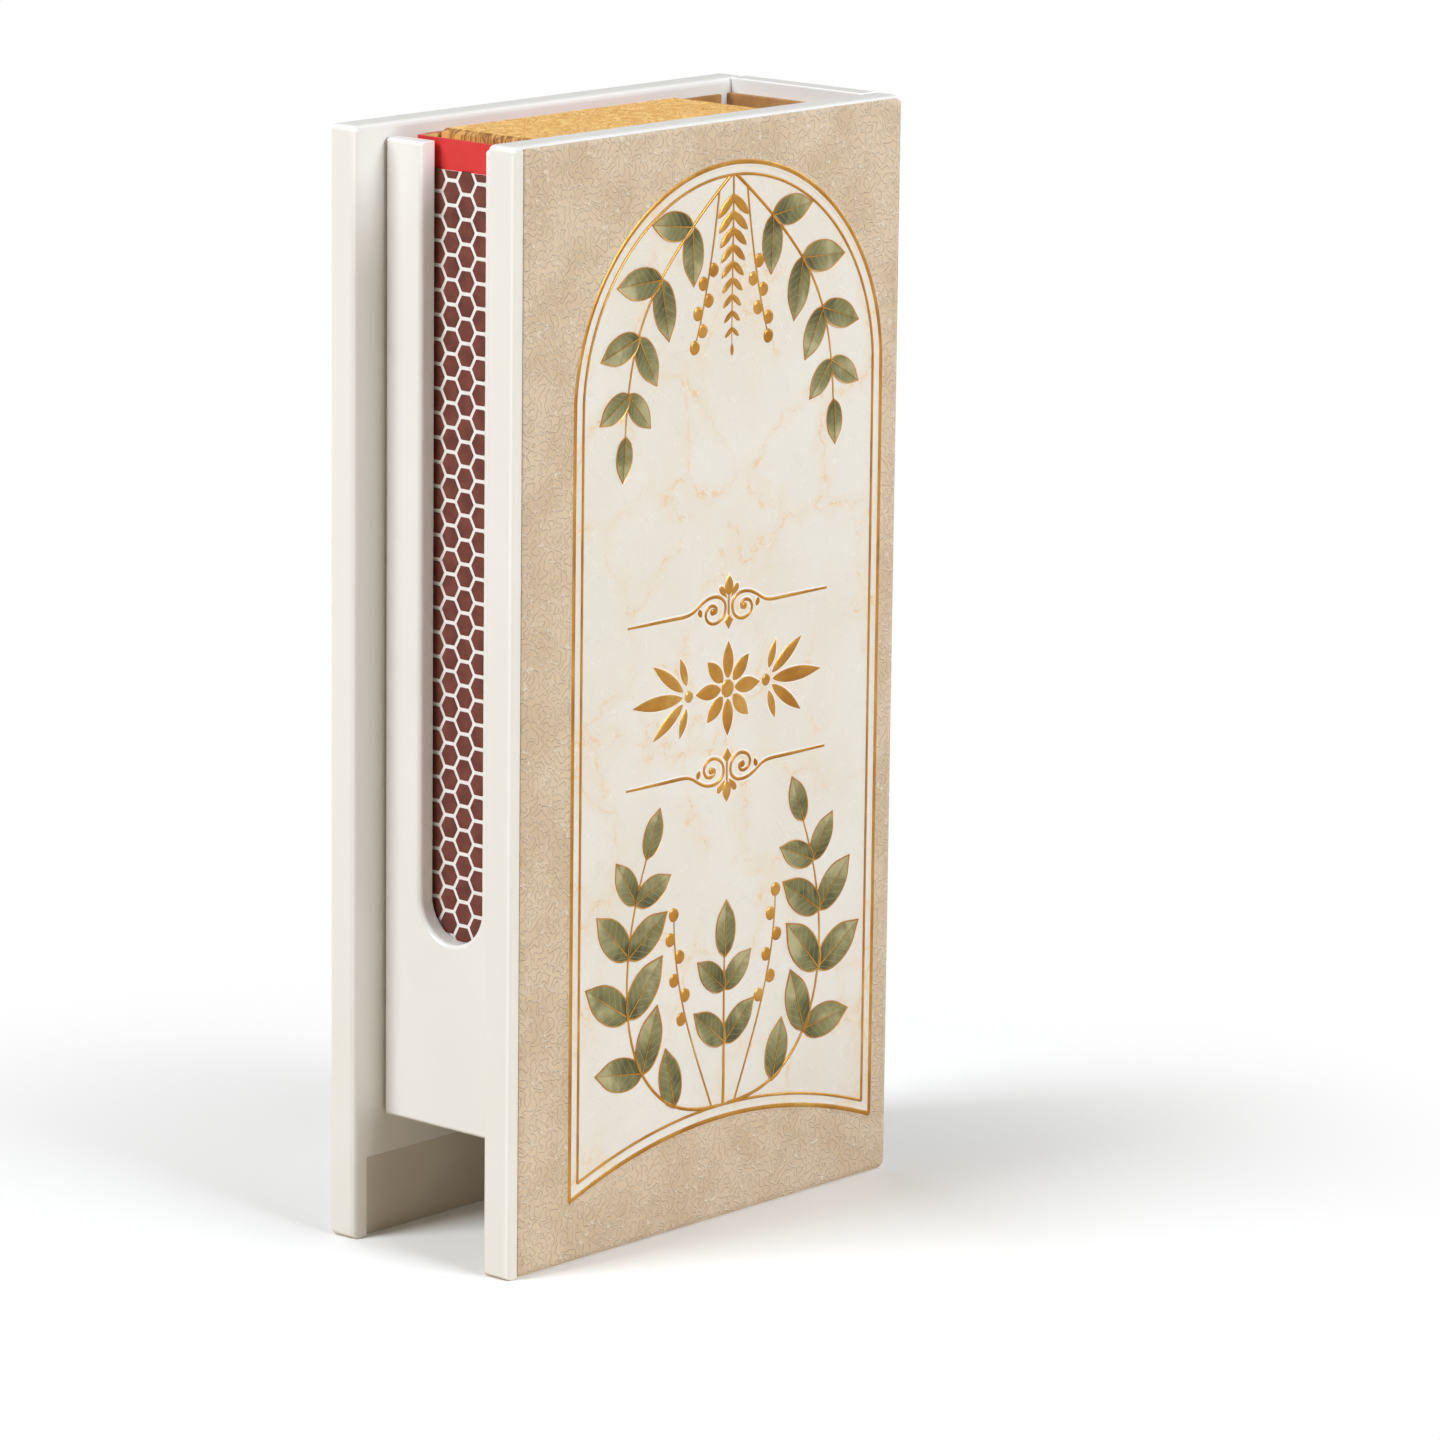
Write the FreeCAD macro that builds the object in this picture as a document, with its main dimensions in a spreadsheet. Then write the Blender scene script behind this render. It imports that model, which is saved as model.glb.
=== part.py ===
# Matchbox holder: a book-shaped box of lacquered boards, open at the top, with a slotted side that bares
# the striker of the matchbox standing inside. Millimetres, +Z up, the front faces -Y,
# and the origin is the middle of the footprint.
import FreeCAD, Part
import Sketcher
import math
import os

doc = FreeCAD.newDocument("MatchboxHolder")

# Driving dimensions, one word each, grouped by piece
DRIVING = (
    # boards and facing
    ("back_board_thickness", "3.7"),
    ("front_board_thickness", "3.7"),
    ("board_edge_round", "0.8"),
    ("facing_thickness", "0.6"),
    ("facing_reveal_left", "1.6"),
    ("facing_reveal_edge", "0.3"),
    ("facing_roll", "0.5"),
    ("relief_height", "8.8"),
    ("relief_depth", "0.6"),
    ("relief_inset", "2.1"),
    # walls and floor
    ("slotted_wall_thickness", "2.0"),
    ("slotted_wall_recess", "4.3"),
    ("slotted_wall_drop", "1.5"),
    ("slotted_wall_round", "0.6"),
    ("slot_width", "8.8"),
    ("slot_foot", "20.4"),
    ("end_wall_thickness", "2.4"),
    ("floor_thickness", "2.4"),
    ("foot_height", "13.2"),
    # linings
    ("liner_thickness", "0.6"),
    ("liner_drop", "1.65"),
    ("liner_gap_left", "4.2"),
    ("liner_gap_right", "2.1"),
    # matchbox and the room round it
    ("box_width", "40.0"),
    ("box_depth", "15.4"),
    ("box_length", "103.0"),
    ("box_clearance", "0.3"),
    ("box_slack_front", "1.15"),
    ("box_slack_back", "1.65"),
    ("finger_gap", "11.1"),
    ("seat_clearance", "0.1"),
    ("rim_rise", "1.3"),
    ("sleeve_card", "0.5"),
    ("sleeve_round", "0.4"),
    ("striker_thickness", "0.25"),
    ("striker_end_margin", "3.2"),
    ("striker_side_margin", "0.5"),
    # tray and matches
    ("tray_clearance", "0.4"),
    ("tray_card", "0.9"),
    ("tray_end", "1.6"),
    ("tray_proud", "0.6"),
    ("tray_round", "0.6"),
    ("stick_side", "2.2"),
    ("head_diameter", "3.1"),
    ("head_shoulder", "0.25"),
    ("head_length", "4.4"),
    ("match_gap", "0.25"),
    ("match_end_gap", "1.4"),
)

# Bundles of matches laid end to end in the tray, with a gap before, between and after them
MATCH_BUNDLES = 2

# Lengths and places that follow from the driving dimensions
DERIVED = (
    ("cavity_width", "=Sizes.box_clearance + 2 * Sizes.striker_thickness + Sizes.box_width"
                     " + Sizes.finger_gap + Sizes.liner_thickness"),
    ("cavity_depth", "=Sizes.box_slack_front + Sizes.box_depth + Sizes.box_slack_back"
                     " + Sizes.liner_thickness"),
    ("holder_width", "=Sizes.slotted_wall_recess + Sizes.slotted_wall_thickness + cavity_width"
                     " + Sizes.end_wall_thickness"),
    ("holder_depth", "=Sizes.facing_thickness + Sizes.front_board_thickness + cavity_depth"
                     " + Sizes.back_board_thickness"),
    ("floor_top", "=Sizes.foot_height + Sizes.floor_thickness"),
    ("holder_height", "=floor_top + Sizes.seat_clearance + Sizes.box_length + Sizes.rim_rise"),
    ("left_end", "=-holder_width / 2"),
    ("front_inner", "=-holder_depth / 2 + Sizes.facing_thickness + Sizes.front_board_thickness"),
    ("back_inner", "=front_inner + cavity_depth"),
    ("slotted_wall_left", "=left_end + Sizes.slotted_wall_recess"),
    ("cavity_left", "=slotted_wall_left + Sizes.slotted_wall_thickness"),
    ("cavity_right", "=cavity_left + cavity_width"),
    ("slotted_wall_height", "=holder_height - Sizes.slotted_wall_drop - Sizes.foot_height"),
    ("slot_centre", "=Sizes.box_slack_front + Sizes.box_depth / 2"),
    ("liner_height", "=holder_height - Sizes.liner_drop - floor_top"),
    ("box_left", "=cavity_left + Sizes.box_clearance + Sizes.striker_thickness"),
    ("box_front", "=front_inner + Sizes.box_slack_front"),
    ("box_bottom", "=floor_top + Sizes.seat_clearance"),
    ("tray_inset", "=Sizes.sleeve_card + Sizes.tray_clearance"),
    ("tray_width", "=Sizes.box_width - 2 * tray_inset"),
    ("tray_depth", "=Sizes.box_depth - 2 * tray_inset"),
    ("tray_length", "=Sizes.box_length + Sizes.tray_proud"),
    ("well_width", "=tray_width - 2 * Sizes.tray_card"),
    ("well_depth", "=tray_depth - Sizes.tray_card"),
    ("well_length", "=tray_length - 2 * Sizes.tray_end"),
    ("match_length", f"=(well_length - {MATCH_BUNDLES + 1} * Sizes.match_end_gap) / {MATCH_BUNDLES}"),
    ("match_pitch", "=Sizes.head_diameter + Sizes.match_gap"),
)


def fill_sheet(name, rows):
    """Put each named value in a sheet, its name in column A and the value, under that alias, in column B."""
    sheet = doc.addObject("Spreadsheet::Sheet", name)
    for number, (alias, value) in enumerate(rows, start=1):
        sheet.set(f"A{number}", alias)
        sheet.set(f"B{number}", value)
        sheet.setAlias(f"B{number}", alias)
    doc.recompute()
    return sheet


sizes = fill_sheet("Sizes", DRIVING)
layout = fill_sheet("Layout", DERIVED)
subparts = []


def bind(target, **expressions):
    """Bind properties of an object to expressions."""
    for prop, expression in expressions.items():
        target.setExpression(prop, expression)


def place(target, x, y, z):
    """Register a finished sub-part and bind its position in the holder's frame."""
    target.setExpression("Placement.Base.x", x)
    target.setExpression("Placement.Base.y", y)
    target.setExpression("Placement.Base.z", z)
    subparts.append(target)


def new_body(label):
    body = doc.addObject("PartDesign::Body", label)
    body.Label = label
    return body


def new_sketch(body, name, role):
    """Add a sketch on one of the body's own origin planes."""
    sketch = body.newObject("Sketcher::SketchObject", name)
    plane = next(feature for feature in body.Origin.OriginFeatures if feature.Role == role)
    sketch.AttachmentSupport = [(plane, "")]
    sketch.MapMode = "FlatFace"
    return sketch


def value_of(expression):
    """Work out an expression of the sheets' names."""
    return float(sizes.evalExpression(expression))


def dimension(sketch, kind, expression, *where):
    """Add a driving constraint and bind it to an expression."""
    index = sketch.addConstraint(Sketcher.Constraint(kind, *where, value_of(expression)))
    sketch.setExpression(f"Constraints[{index}]", expression)


def rectangle(sketch, width, height, left="0", bottom="0"):
    """Draw a rectangle with its lower left corner at the given offsets from the sketch's origin."""
    near = FreeCAD.Vector(value_of(left), value_of(bottom), 0)
    across = FreeCAD.Vector(value_of(width), 0, 0)
    up = FreeCAD.Vector(0, value_of(height), 0)
    corners = [near, near + across, near + across + up, near + up]
    for start, end in zip(corners, corners[1:] + corners[:1]):
        sketch.addGeometry(Part.LineSegment(start, end), False)
    for side in range(4):
        sketch.addConstraint(Sketcher.Constraint("Coincident", side, 2, (side + 1) % 4, 1))
        sketch.addConstraint(Sketcher.Constraint(("Horizontal", "Vertical")[side % 2], side))
    dimension(sketch, "DistanceX", width, 0, 1, 0, 2)
    dimension(sketch, "DistanceY", height, 1, 1, 1, 2)
    dimension(sketch, "DistanceX", left, -1, 1, 0, 1)
    dimension(sketch, "DistanceY", bottom, -1, 1, 0, 1)


def pad(body, sketch, length):
    feature = body.newObject("PartDesign::Pad", sketch.Name + "Pad")
    feature.Profile = sketch
    feature.setExpression("Length", length)
    doc.recompute()
    return feature


def pocket(body, sketch, depth=None):
    """Cut a sketch into the solid, through all of it where no depth is given, and check that it cut."""
    before = body.Shape.Volume
    feature = body.newObject("PartDesign::Pocket", sketch.Name + "Pocket")
    feature.Profile = sketch
    if depth is None:
        feature.Type = "ThroughAll"
        feature.Midplane = True
    else:
        feature.setExpression("Length", depth)
    doc.recompute()
    if not body.Shape.Volume < before:
        raise RuntimeError(f"{feature.Name} cut nothing")
    return feature


def round_edges(body, name, radius, wanted):
    """Round every edge of the body whose end points all satisfy the test."""
    base = body.Tip
    names = [f"Edge{number}" for number, edge in enumerate(base.Shape.Edges, start=1)
             if wanted([vertex.Point for vertex in edge.Vertexes])]
    feature = body.newObject("PartDesign::Fillet", name)
    feature.Base = (base, names)
    feature.setExpression("Radius", radius)
    doc.recompute()
    return feature


SAME_PLACE = 1e-6


def all_at(points, axis, value):
    """Tell whether all points lie in the plane where one coordinate has the given value."""
    return all(abs(point[axis] - value) < SAME_PLACE for point in points)


def card(label, width, depth, height, x, y, z):
    """A plain flat sheet or panel."""
    sheet = doc.addObject("Part::Box", label)
    sheet.Label = label
    bind(sheet, Length=width, Width=depth, Height=height)
    place(sheet, x, y, z)


def board(label, thickness, rounded_face, x, y, turn):
    """A board as wide and tall as the holder, drawn with its inner face at local Y 0.

    Its foot has a shallow relief on the inside. The end that meets the end wall stays sharp.
    """
    body = new_body(label)
    outline = new_sketch(body, label + "_outline", "XY_Plane")
    rectangle(outline, "Layout.holder_width", f"Sizes.{thickness}")
    pad(body, outline, "Layout.holder_height")
    depth = sizes.get(thickness)
    width = layout.get("holder_width")
    free_end = 0 if turn == 0 else width

    def exposed(points):
        return all_at(points, 0, free_end) or (rounded_face and all_at(points, 1, depth))

    round_edges(body, label + "_edges", "Sizes.board_edge_round", exposed)
    relief = new_sketch(body, label + "_relief", "XZ_Plane")
    rectangle(relief, "Layout.holder_width - 2 * Sizes.relief_inset", "Sizes.relief_height", "Sizes.relief_inset")
    pocket(body, relief, "Sizes.relief_depth")
    body.Placement.Rotation = FreeCAD.Rotation(FreeCAD.Vector(0, 0, 1), turn)
    place(body, x, y, "0")


# Boards, front and back
board("back_board", "back_board_thickness", True, "Layout.left_end", "Layout.back_inner", 0)
board("front_board", "front_board_thickness", False, "-Layout.left_end", "Layout.front_inner", 180)

# Facing: a thin covered panel on the front board, its front edges rolled over
facing = new_body("front_facing")
facing_outline = new_sketch(facing, "facing_outline", "XY_Plane")
rectangle(facing_outline,
          "Layout.holder_width - Sizes.facing_reveal_left - Sizes.facing_reveal_edge",
          "Sizes.facing_thickness")
pad(facing, facing_outline, "Layout.holder_height - 2 * Sizes.facing_reveal_edge")
round_edges(facing, "facing_rolled_edges", "Sizes.facing_roll", lambda points: all_at(points, 1, 0))
place(facing, "Layout.left_end + Sizes.facing_reveal_left", "-Layout.holder_depth / 2",
      "Sizes.facing_reveal_edge")

# Slotted wall: set back from the boards' ends, its slot open at the top and centred on the striker
slotted_wall = new_body("slotted_wall")
wall_outline = new_sketch(slotted_wall, "slotted_wall_outline", "YZ_Plane")
rectangle(wall_outline, "Layout.cavity_depth", "Layout.slotted_wall_height")
pad(slotted_wall, wall_outline, "Sizes.slotted_wall_thickness")
slot = new_sketch(slotted_wall, "slot", "YZ_Plane")
slot_radius = sizes.get("slot_width") / 2
slot_middle = FreeCAD.Vector(layout.get("slot_centre"), sizes.get("slot_foot") + slot_radius, 0)
slot_side = FreeCAD.Vector(slot_radius, 0, 0)
slot_rise = FreeCAD.Vector(0, layout.get("slotted_wall_height") - slot_middle.y, 0)
slot_back = slot_middle - slot_side
slot_front = slot_middle + slot_side
slot.addGeometry(Part.LineSegment(slot_back + slot_rise, slot_back), False)
slot.addGeometry(Part.ArcOfCircle(Part.Circle(slot_middle, FreeCAD.Vector(0, 0, 1), slot_radius),
                                  math.pi, 2 * math.pi), False)
slot.addGeometry(Part.LineSegment(slot_front, slot_front + slot_rise), False)
slot.addGeometry(Part.LineSegment(slot_front + slot_rise, slot_back + slot_rise), False)
slot.addConstraint(Sketcher.Constraint("Tangent", 0, 2, 1, 1))
slot.addConstraint(Sketcher.Constraint("Tangent", 1, 2, 2, 1))
slot.addConstraint(Sketcher.Constraint("Coincident", 2, 2, 3, 1))
slot.addConstraint(Sketcher.Constraint("Coincident", 3, 2, 0, 1))
slot.addConstraint(Sketcher.Constraint("Vertical", 0))
slot.addConstraint(Sketcher.Constraint("Horizontal", 3))
dimension(slot, "Radius", "Sizes.slot_width / 2", 1)
dimension(slot, "DistanceX", "Layout.slot_centre", -1, 1, 1, 3)
dimension(slot, "DistanceY", "Sizes.slot_foot + Sizes.slot_width / 2", -1, 1, 1, 3)
dimension(slot, "DistanceY", "Layout.slotted_wall_height", -1, 1, 2, 2)
pocket(slotted_wall, slot)
round_edges(slotted_wall, "slotted_wall_edges", "Sizes.slotted_wall_round", lambda points: all_at(points, 0, 0))
place(slotted_wall, "Layout.slotted_wall_left", "Layout.front_inner", "Sizes.foot_height")

# End wall: flush with the boards' right ends and their top
end_wall = new_body("end_wall")
end_wall_outline = new_sketch(end_wall, "end_wall_outline", "XY_Plane")
rectangle(end_wall_outline, "Sizes.end_wall_thickness", "Layout.cavity_depth")
pad(end_wall, end_wall_outline, "Layout.holder_height - Sizes.foot_height")
place(end_wall, "Layout.cavity_right", "Layout.front_inner", "Sizes.foot_height")

# Floor and linings
card("floor_panel", "Layout.cavity_width", "Layout.cavity_depth", "Sizes.floor_thickness",
     "Layout.cavity_left", "Layout.front_inner", "Sizes.foot_height")
card("back_liner", "Layout.cavity_width - Sizes.liner_gap_left - Sizes.liner_gap_right",
     "Sizes.liner_thickness", "Layout.liner_height",
     "Layout.cavity_left + Sizes.liner_gap_left", "Layout.back_inner - Sizes.liner_thickness",
     "Layout.floor_top")
card("end_liner", "Sizes.liner_thickness", "Layout.cavity_depth", "Layout.liner_height",
     "Layout.cavity_right - Sizes.liner_thickness", "Layout.front_inner", "Layout.floor_top")

# Matchbox sleeve: a card tube standing on end, with a striker on each narrow side
sleeve = new_body("matchbox_sleeve")
sleeve_outline = new_sketch(sleeve, "sleeve_outline", "XY_Plane")
rectangle(sleeve_outline, "Sizes.box_width", "Sizes.box_depth")
pad(sleeve, sleeve_outline, "Sizes.box_length")
round_edges(sleeve, "sleeve_folds", "Sizes.sleeve_round",
            lambda points: all_at(points, 0, points[0][0]) and all_at(points, 1, points[0][1]))
sleeve_bore = new_sketch(sleeve, "sleeve_bore", "XY_Plane")
rectangle(sleeve_bore, "Sizes.box_width - 2 * Sizes.sleeve_card", "Sizes.box_depth - 2 * Sizes.sleeve_card",
          "Sizes.sleeve_card", "Sizes.sleeve_card")
pocket(sleeve, sleeve_bore)
place(sleeve, "Layout.box_left", "Layout.box_front", "Layout.box_bottom")

for striker, striker_x in (("striker_left", "Layout.box_left - Sizes.striker_thickness"),
                           ("striker_right", "Layout.box_left + Sizes.box_width")):
    card(striker, "Sizes.striker_thickness", "Sizes.box_depth - 2 * Sizes.striker_side_margin",
         "Sizes.box_length - 2 * Sizes.striker_end_margin",
         striker_x, "Layout.box_front + Sizes.striker_side_margin",
         "Layout.box_bottom + Sizes.striker_end_margin")

# Tray: a card drawer whose well opens to the front, with folded ends, standing a little above the sleeve
tray = new_body("matchbox_tray")
tray_outline = new_sketch(tray, "tray_outline", "XY_Plane")
rectangle(tray_outline, "Layout.tray_width", "Layout.tray_depth")
pad(tray, tray_outline, "Layout.tray_length")
tray_well = new_sketch(tray, "tray_well", "XZ_Plane")
rectangle(tray_well, "Layout.well_width", "Layout.well_length", "Sizes.tray_card", "Sizes.tray_end")
pocket(tray, tray_well, "Layout.well_depth")
tray_top = layout.get("tray_length")
round_edges(tray, "tray_end_edges", "Sizes.tray_round",
            lambda points: all_at(points, 2, 0) or all_at(points, 2, tray_top))
place(tray, "Layout.box_left + Layout.tray_inset", "Layout.box_front + Layout.tray_inset", "Layout.box_bottom")


def match_head(radius, shoulder, length):
    """A dipped head: a round tip on a flank that draws in to the stick, on the Z axis with its base at 0."""
    flank_height = length - radius
    flank_radius = (shoulder ** 2 + flank_height ** 2) / (2 * shoulder)
    half_turn = math.asin(flank_height / flank_radius) / 2
    base = FreeCAD.Vector(radius - shoulder, 0, 0)
    flank = FreeCAD.Vector(radius - flank_radius * (1 - math.cos(half_turn)), 0,
                           flank_height - flank_radius * math.sin(half_turn))
    widest = FreeCAD.Vector(radius, 0, flank_height)
    crown = FreeCAD.Vector(radius * math.sqrt(0.5), 0, flank_height + radius * math.sqrt(0.5))
    tip = FreeCAD.Vector(0, 0, length)
    foot = FreeCAD.Vector(0, 0, 0)
    outline = Part.Wire([Part.LineSegment(foot, base).toShape(), Part.Arc(base, flank, widest).toShape(),
                         Part.Arc(widest, crown, tip).toShape(), Part.LineSegment(tip, foot).toShape()])
    return Part.Face(outline).revolve(foot, FreeCAD.Vector(0, 0, 1), 360)


def match_group(label, solids):
    """One node of like pieces, drawn from the near lower corner of the tray's well."""
    group = doc.addObject("Part::Feature", label)
    group.Label = label
    group.Shape = Part.makeCompound(solids)
    place(group, "Layout.box_left + Layout.tray_inset + Sizes.tray_card",
          "Layout.box_front + Layout.tray_inset", "Layout.box_bottom + Sizes.tray_end")


# Matches: bundles end to end along the tray, each in rows and layers up from the tray's bottom
stick_side = sizes.get("stick_side")
head_length = sizes.get("head_length")
match_length = layout.get("match_length")
match_pitch = layout.get("match_pitch")
match_end_gap = sizes.get("match_end_gap")
well_width = layout.get("well_width")
well_depth = layout.get("well_depth")
columns = int(well_width // match_pitch)
layers = int(well_depth // match_pitch)
stick_length = match_length - head_length
head = match_head(sizes.get("head_diameter") / 2, sizes.get("head_shoulder"), head_length)
sticks = []
heads = []
for bundle in range(MATCH_BUNDLES):
    match_bottom = match_end_gap + bundle * (match_length + match_end_gap)
    for column in range(columns):
        match_x = well_width / 2 + (column - (columns - 1) / 2) * match_pitch
        for layer in range(layers):
            match_y = well_depth - (layer + 0.5) * match_pitch
            corner = FreeCAD.Vector(match_x - stick_side / 2, match_y - stick_side / 2, match_bottom)
            sticks.append(Part.makeBox(stick_side, stick_side, stick_length, corner))
            heads.append(head.translated(FreeCAD.Vector(match_x, match_y, match_bottom + stick_length)))
match_group("match_sticks", sticks)
match_group("match_heads", heads)

doc.recompute()
for item in doc.Objects:
    if "Invalid" in item.State or "Error" in item.State:
        raise RuntimeError(f"{item.Label} failed: {item.State}")
for item in subparts:
    if item.Shape.isNull() or not item.Shape.isValid():
        raise RuntimeError(f"{item.Label} has no valid shape")

os.makedirs("parts", exist_ok=True)
for item in subparts:
    item.Shape.exportStep(f"parts/{item.Label}.step")
    box = item.Shape.BoundBox
    print(f"{item.Label}: {len(item.Shape.Solids)} solids, volume {item.Shape.Volume:.1f},"
          f" X {box.XMin:.2f} {box.XMax:.2f}, Y {box.YMin:.2f} {box.YMax:.2f}, Z {box.ZMin:.2f} {box.ZMax:.2f}")
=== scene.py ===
from itertools import product
from math import atan2, ceil, cos, pi, radians, sin, sqrt
import bpy
from mathutils import Matrix, Vector


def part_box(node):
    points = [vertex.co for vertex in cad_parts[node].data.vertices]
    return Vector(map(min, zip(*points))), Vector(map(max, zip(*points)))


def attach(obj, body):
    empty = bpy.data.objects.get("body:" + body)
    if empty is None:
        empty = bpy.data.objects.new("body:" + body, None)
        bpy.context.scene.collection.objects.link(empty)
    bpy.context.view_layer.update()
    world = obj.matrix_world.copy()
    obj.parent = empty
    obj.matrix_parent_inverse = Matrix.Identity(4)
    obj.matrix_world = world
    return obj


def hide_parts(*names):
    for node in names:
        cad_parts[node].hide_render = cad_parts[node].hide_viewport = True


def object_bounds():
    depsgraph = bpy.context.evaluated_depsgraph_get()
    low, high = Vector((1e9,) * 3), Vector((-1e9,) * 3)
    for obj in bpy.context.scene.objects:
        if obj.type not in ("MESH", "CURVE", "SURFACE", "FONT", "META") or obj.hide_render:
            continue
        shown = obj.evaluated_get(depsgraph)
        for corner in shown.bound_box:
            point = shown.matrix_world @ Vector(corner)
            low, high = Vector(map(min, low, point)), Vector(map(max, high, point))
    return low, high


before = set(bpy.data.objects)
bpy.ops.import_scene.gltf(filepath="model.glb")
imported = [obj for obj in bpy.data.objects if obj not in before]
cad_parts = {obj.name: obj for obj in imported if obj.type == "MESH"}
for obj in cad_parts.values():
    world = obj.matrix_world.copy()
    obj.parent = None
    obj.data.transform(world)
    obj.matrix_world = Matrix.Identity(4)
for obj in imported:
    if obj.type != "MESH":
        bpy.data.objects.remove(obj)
cad_low, cad_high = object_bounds()


# Back board: a fibreboard panel as tall as the holder, its exposed edges rounded over and the whole sprayed
# with warm white lacquer, painted paler along the crests of the edges as a painted highlight. A shallow
# relief is milled across the inside of its foot.
MM = 0.001
BOARD_ROUND = 0.7 * MM
ROUND_STEPS = 5
ARRIS = 0.15 * MM
ARRIS_STEPS = 3
SHARP = radians(50)
SMOOTH = radians(35)
CREST = 0.85
RELIEF_HEIGHT = 8.8 * MM
RELIEF_DEPTH = 0.6 * MM
RELIEF_INSET = 2.1 * MM
NOISE_RANGE = (0.3, 0.7)
# the plain lacquer, its painted highlight and its painted shade, each in a light and a deep shade, as 0 to
# 255 values
LACQUER = ((238, 236, 233), (236, 234, 230))
PAINTED_HIGHLIGHT_LACQUER = ((249, 248, 246), (245, 244, 241))
PAINTED_SHADE_LACQUER = ((222, 215, 204), (214, 206, 194))
LACQUER_COAT = {"Coat Weight": 0.25, "Coat Roughness": 0.15}


def make_active(piece, *others):
    """Select a piece, alone or with others, and make it active."""
    bpy.ops.object.select_all(action="DESELECT")
    for chosen in (piece, *others):
        chosen.select_set(True)
    bpy.context.view_layer.objects.active = piece


def begin(name, primitive, **shape):
    """Add a primitive with nothing else selected, its place, turn and size held in its mesh."""
    bpy.ops.object.select_all(action="DESELECT")
    primitive(**shape)
    piece = bpy.context.active_object
    piece.name = name
    bpy.ops.object.transform_apply()
    return piece


def begin_block(name, low, high):
    return begin(name, bpy.ops.mesh.primitive_cube_add, size=1, location=(low + high) / 2, scale=high - low)


def enter(mode):
    bpy.ops.object.mode_set(mode=mode)


def clear_selection(piece, kind):
    """Make a piece active with nothing in its mesh selected."""
    make_active(piece)
    enter("EDIT")
    bpy.ops.mesh.select_mode(type=kind)
    bpy.ops.mesh.select_all(action="DESELECT")
    enter("OBJECT")


def select_edges(piece, wanted):
    """Select, in edit mode, only the edges whose pair of ends passes a test."""
    clear_selection(piece, "EDGE")
    vertices = piece.data.vertices
    for edge in piece.data.edges:
        edge.select = wanted(*(vertices[end].co for end in edge.vertices))
    enter("EDIT")


def select_faces(piece, wanted):
    """Select, in edit mode, only the faces whose middle and normal pass a test."""
    clear_selection(piece, "FACE")
    for face in piece.data.polygons:
        face.select = wanted(face.center, face.normal)
    enter("EDIT")


def round_edges(piece, wanted, radius, steps=ROUND_STEPS):
    """Round the edges whose pair of ends passes a test."""
    select_edges(piece, wanted)
    bpy.ops.mesh.bevel(offset=radius, segments=steps, affect="EDGES")
    enter("OBJECT")


def modify(piece, kind, **settings):
    """Give a piece a modifier, set it and apply it."""
    make_active(piece)
    bpy.ops.object.modifier_add(type=kind)
    modifier = piece.modifiers[-1]
    for key, value in settings.items():
        setattr(modifier, key, value)
    bpy.ops.object.modifier_apply(modifier=modifier.name)


def cut_away(piece, cutter):
    """Cut one piece's shape out of another and discard the cutter."""
    modify(piece, "BOOLEAN", operation="DIFFERENCE", solver="EXACT", object=cutter)
    bpy.data.objects.remove(cutter)


def break_arrises(piece, width, steps=ARRIS_STEPS):
    """Take the last sharpness off every edge that is still square."""
    modify(piece, "BEVEL", limit_method="ANGLE", angle_limit=SHARP, width=width, segments=steps)


def surface(piece, finish):
    """Shade a piece smooth on its rounds and flat on its broad faces, and give it its finish."""
    make_active(piece)
    bpy.ops.object.shade_smooth_by_angle(angle=SMOOTH)
    modify(piece, "WEIGHTED_NORMAL", keep_sharp=True)
    piece.data.materials.append(finish)


def seat(piece, body, slot, *nodes):
    """Let a piece ride on a body, in a node's place. The slot is not used."""
    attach(piece, body)
    if nodes:
        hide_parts(*nodes)


def near(value, target, slack=0.01 * MM):
    return abs(value - target) < slack


def lies_on(*planes):
    """A test for edges with both ends on every plane, each given as an axis and a place on it."""
    return lambda *ends: all(near(end[axis], place) for end in ends for axis, place in planes)


def colour(rgb):
    """A linear colour from the usual 0 to 255 values."""
    parts = [part / 255 for part in rgb]
    linear = [part / 12.92 if part <= 0.04045 else ((part + 0.055) / 1.055) ** 2.4 for part in parts]
    return (*linear, 1.0)


def start_finish(name):
    """Begin a material, with the place on its piece in millimetres."""
    material = bpy.data.materials.new(name)
    material.use_nodes = True
    here = add("TexCoord", {}, material.node_tree).outputs["Object"]
    return material, scaled(here, (1 / MM,) * 3)


def is_output(value):
    return isinstance(value, bpy.types.NodeSocket)


def add(kind, inputs, tree=None, **settings):
    """Add a shader node to the tree of its inputs, and set its properties and inputs."""
    tree = tree or next(value.id_data for value in inputs.values() if is_output(value))
    node = tree.nodes.new("ShaderNode" + kind)
    for key, value in settings.items():
        setattr(node, key, value)
    for key, value in inputs.items():
        connect(value, node.inputs[key])
    return node


def connect(value, socket):
    """Link a socket to an output, or set it to a plain value."""
    if is_output(value):
        socket.id_data.links.new(value, socket)
    else:
        socket.default_value = value


def sum_of(operation, first, second=0.0):
    """One step of arithmetic on numbers or outputs."""
    return add("Math", {0: first, 1: second}, operation=operation).outputs[0]


def times(first, second):
    return sum_of("MULTIPLY", first, second)


def scaled(vector, factors):
    return add("VectorMath", {0: vector, 1: factors}, operation="MULTIPLY").outputs[0]


def span(value, start, end, low=0.0, high=1.0):
    """Carry a value smoothly from low to high as it passes from start to end."""
    inputs = {"Value": value, "From Min": start, "From Max": end, "To Min": low, "To Max": high}
    return add("MapRange", inputs, interpolation_type="SMOOTHSTEP").outputs["Result"]


def spread(noise, low=0.0, high=1.0):
    """Carry a noise from low to high over the range that most of it keeps to."""
    return span(noise, *NOISE_RANGE, low, high)


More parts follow.
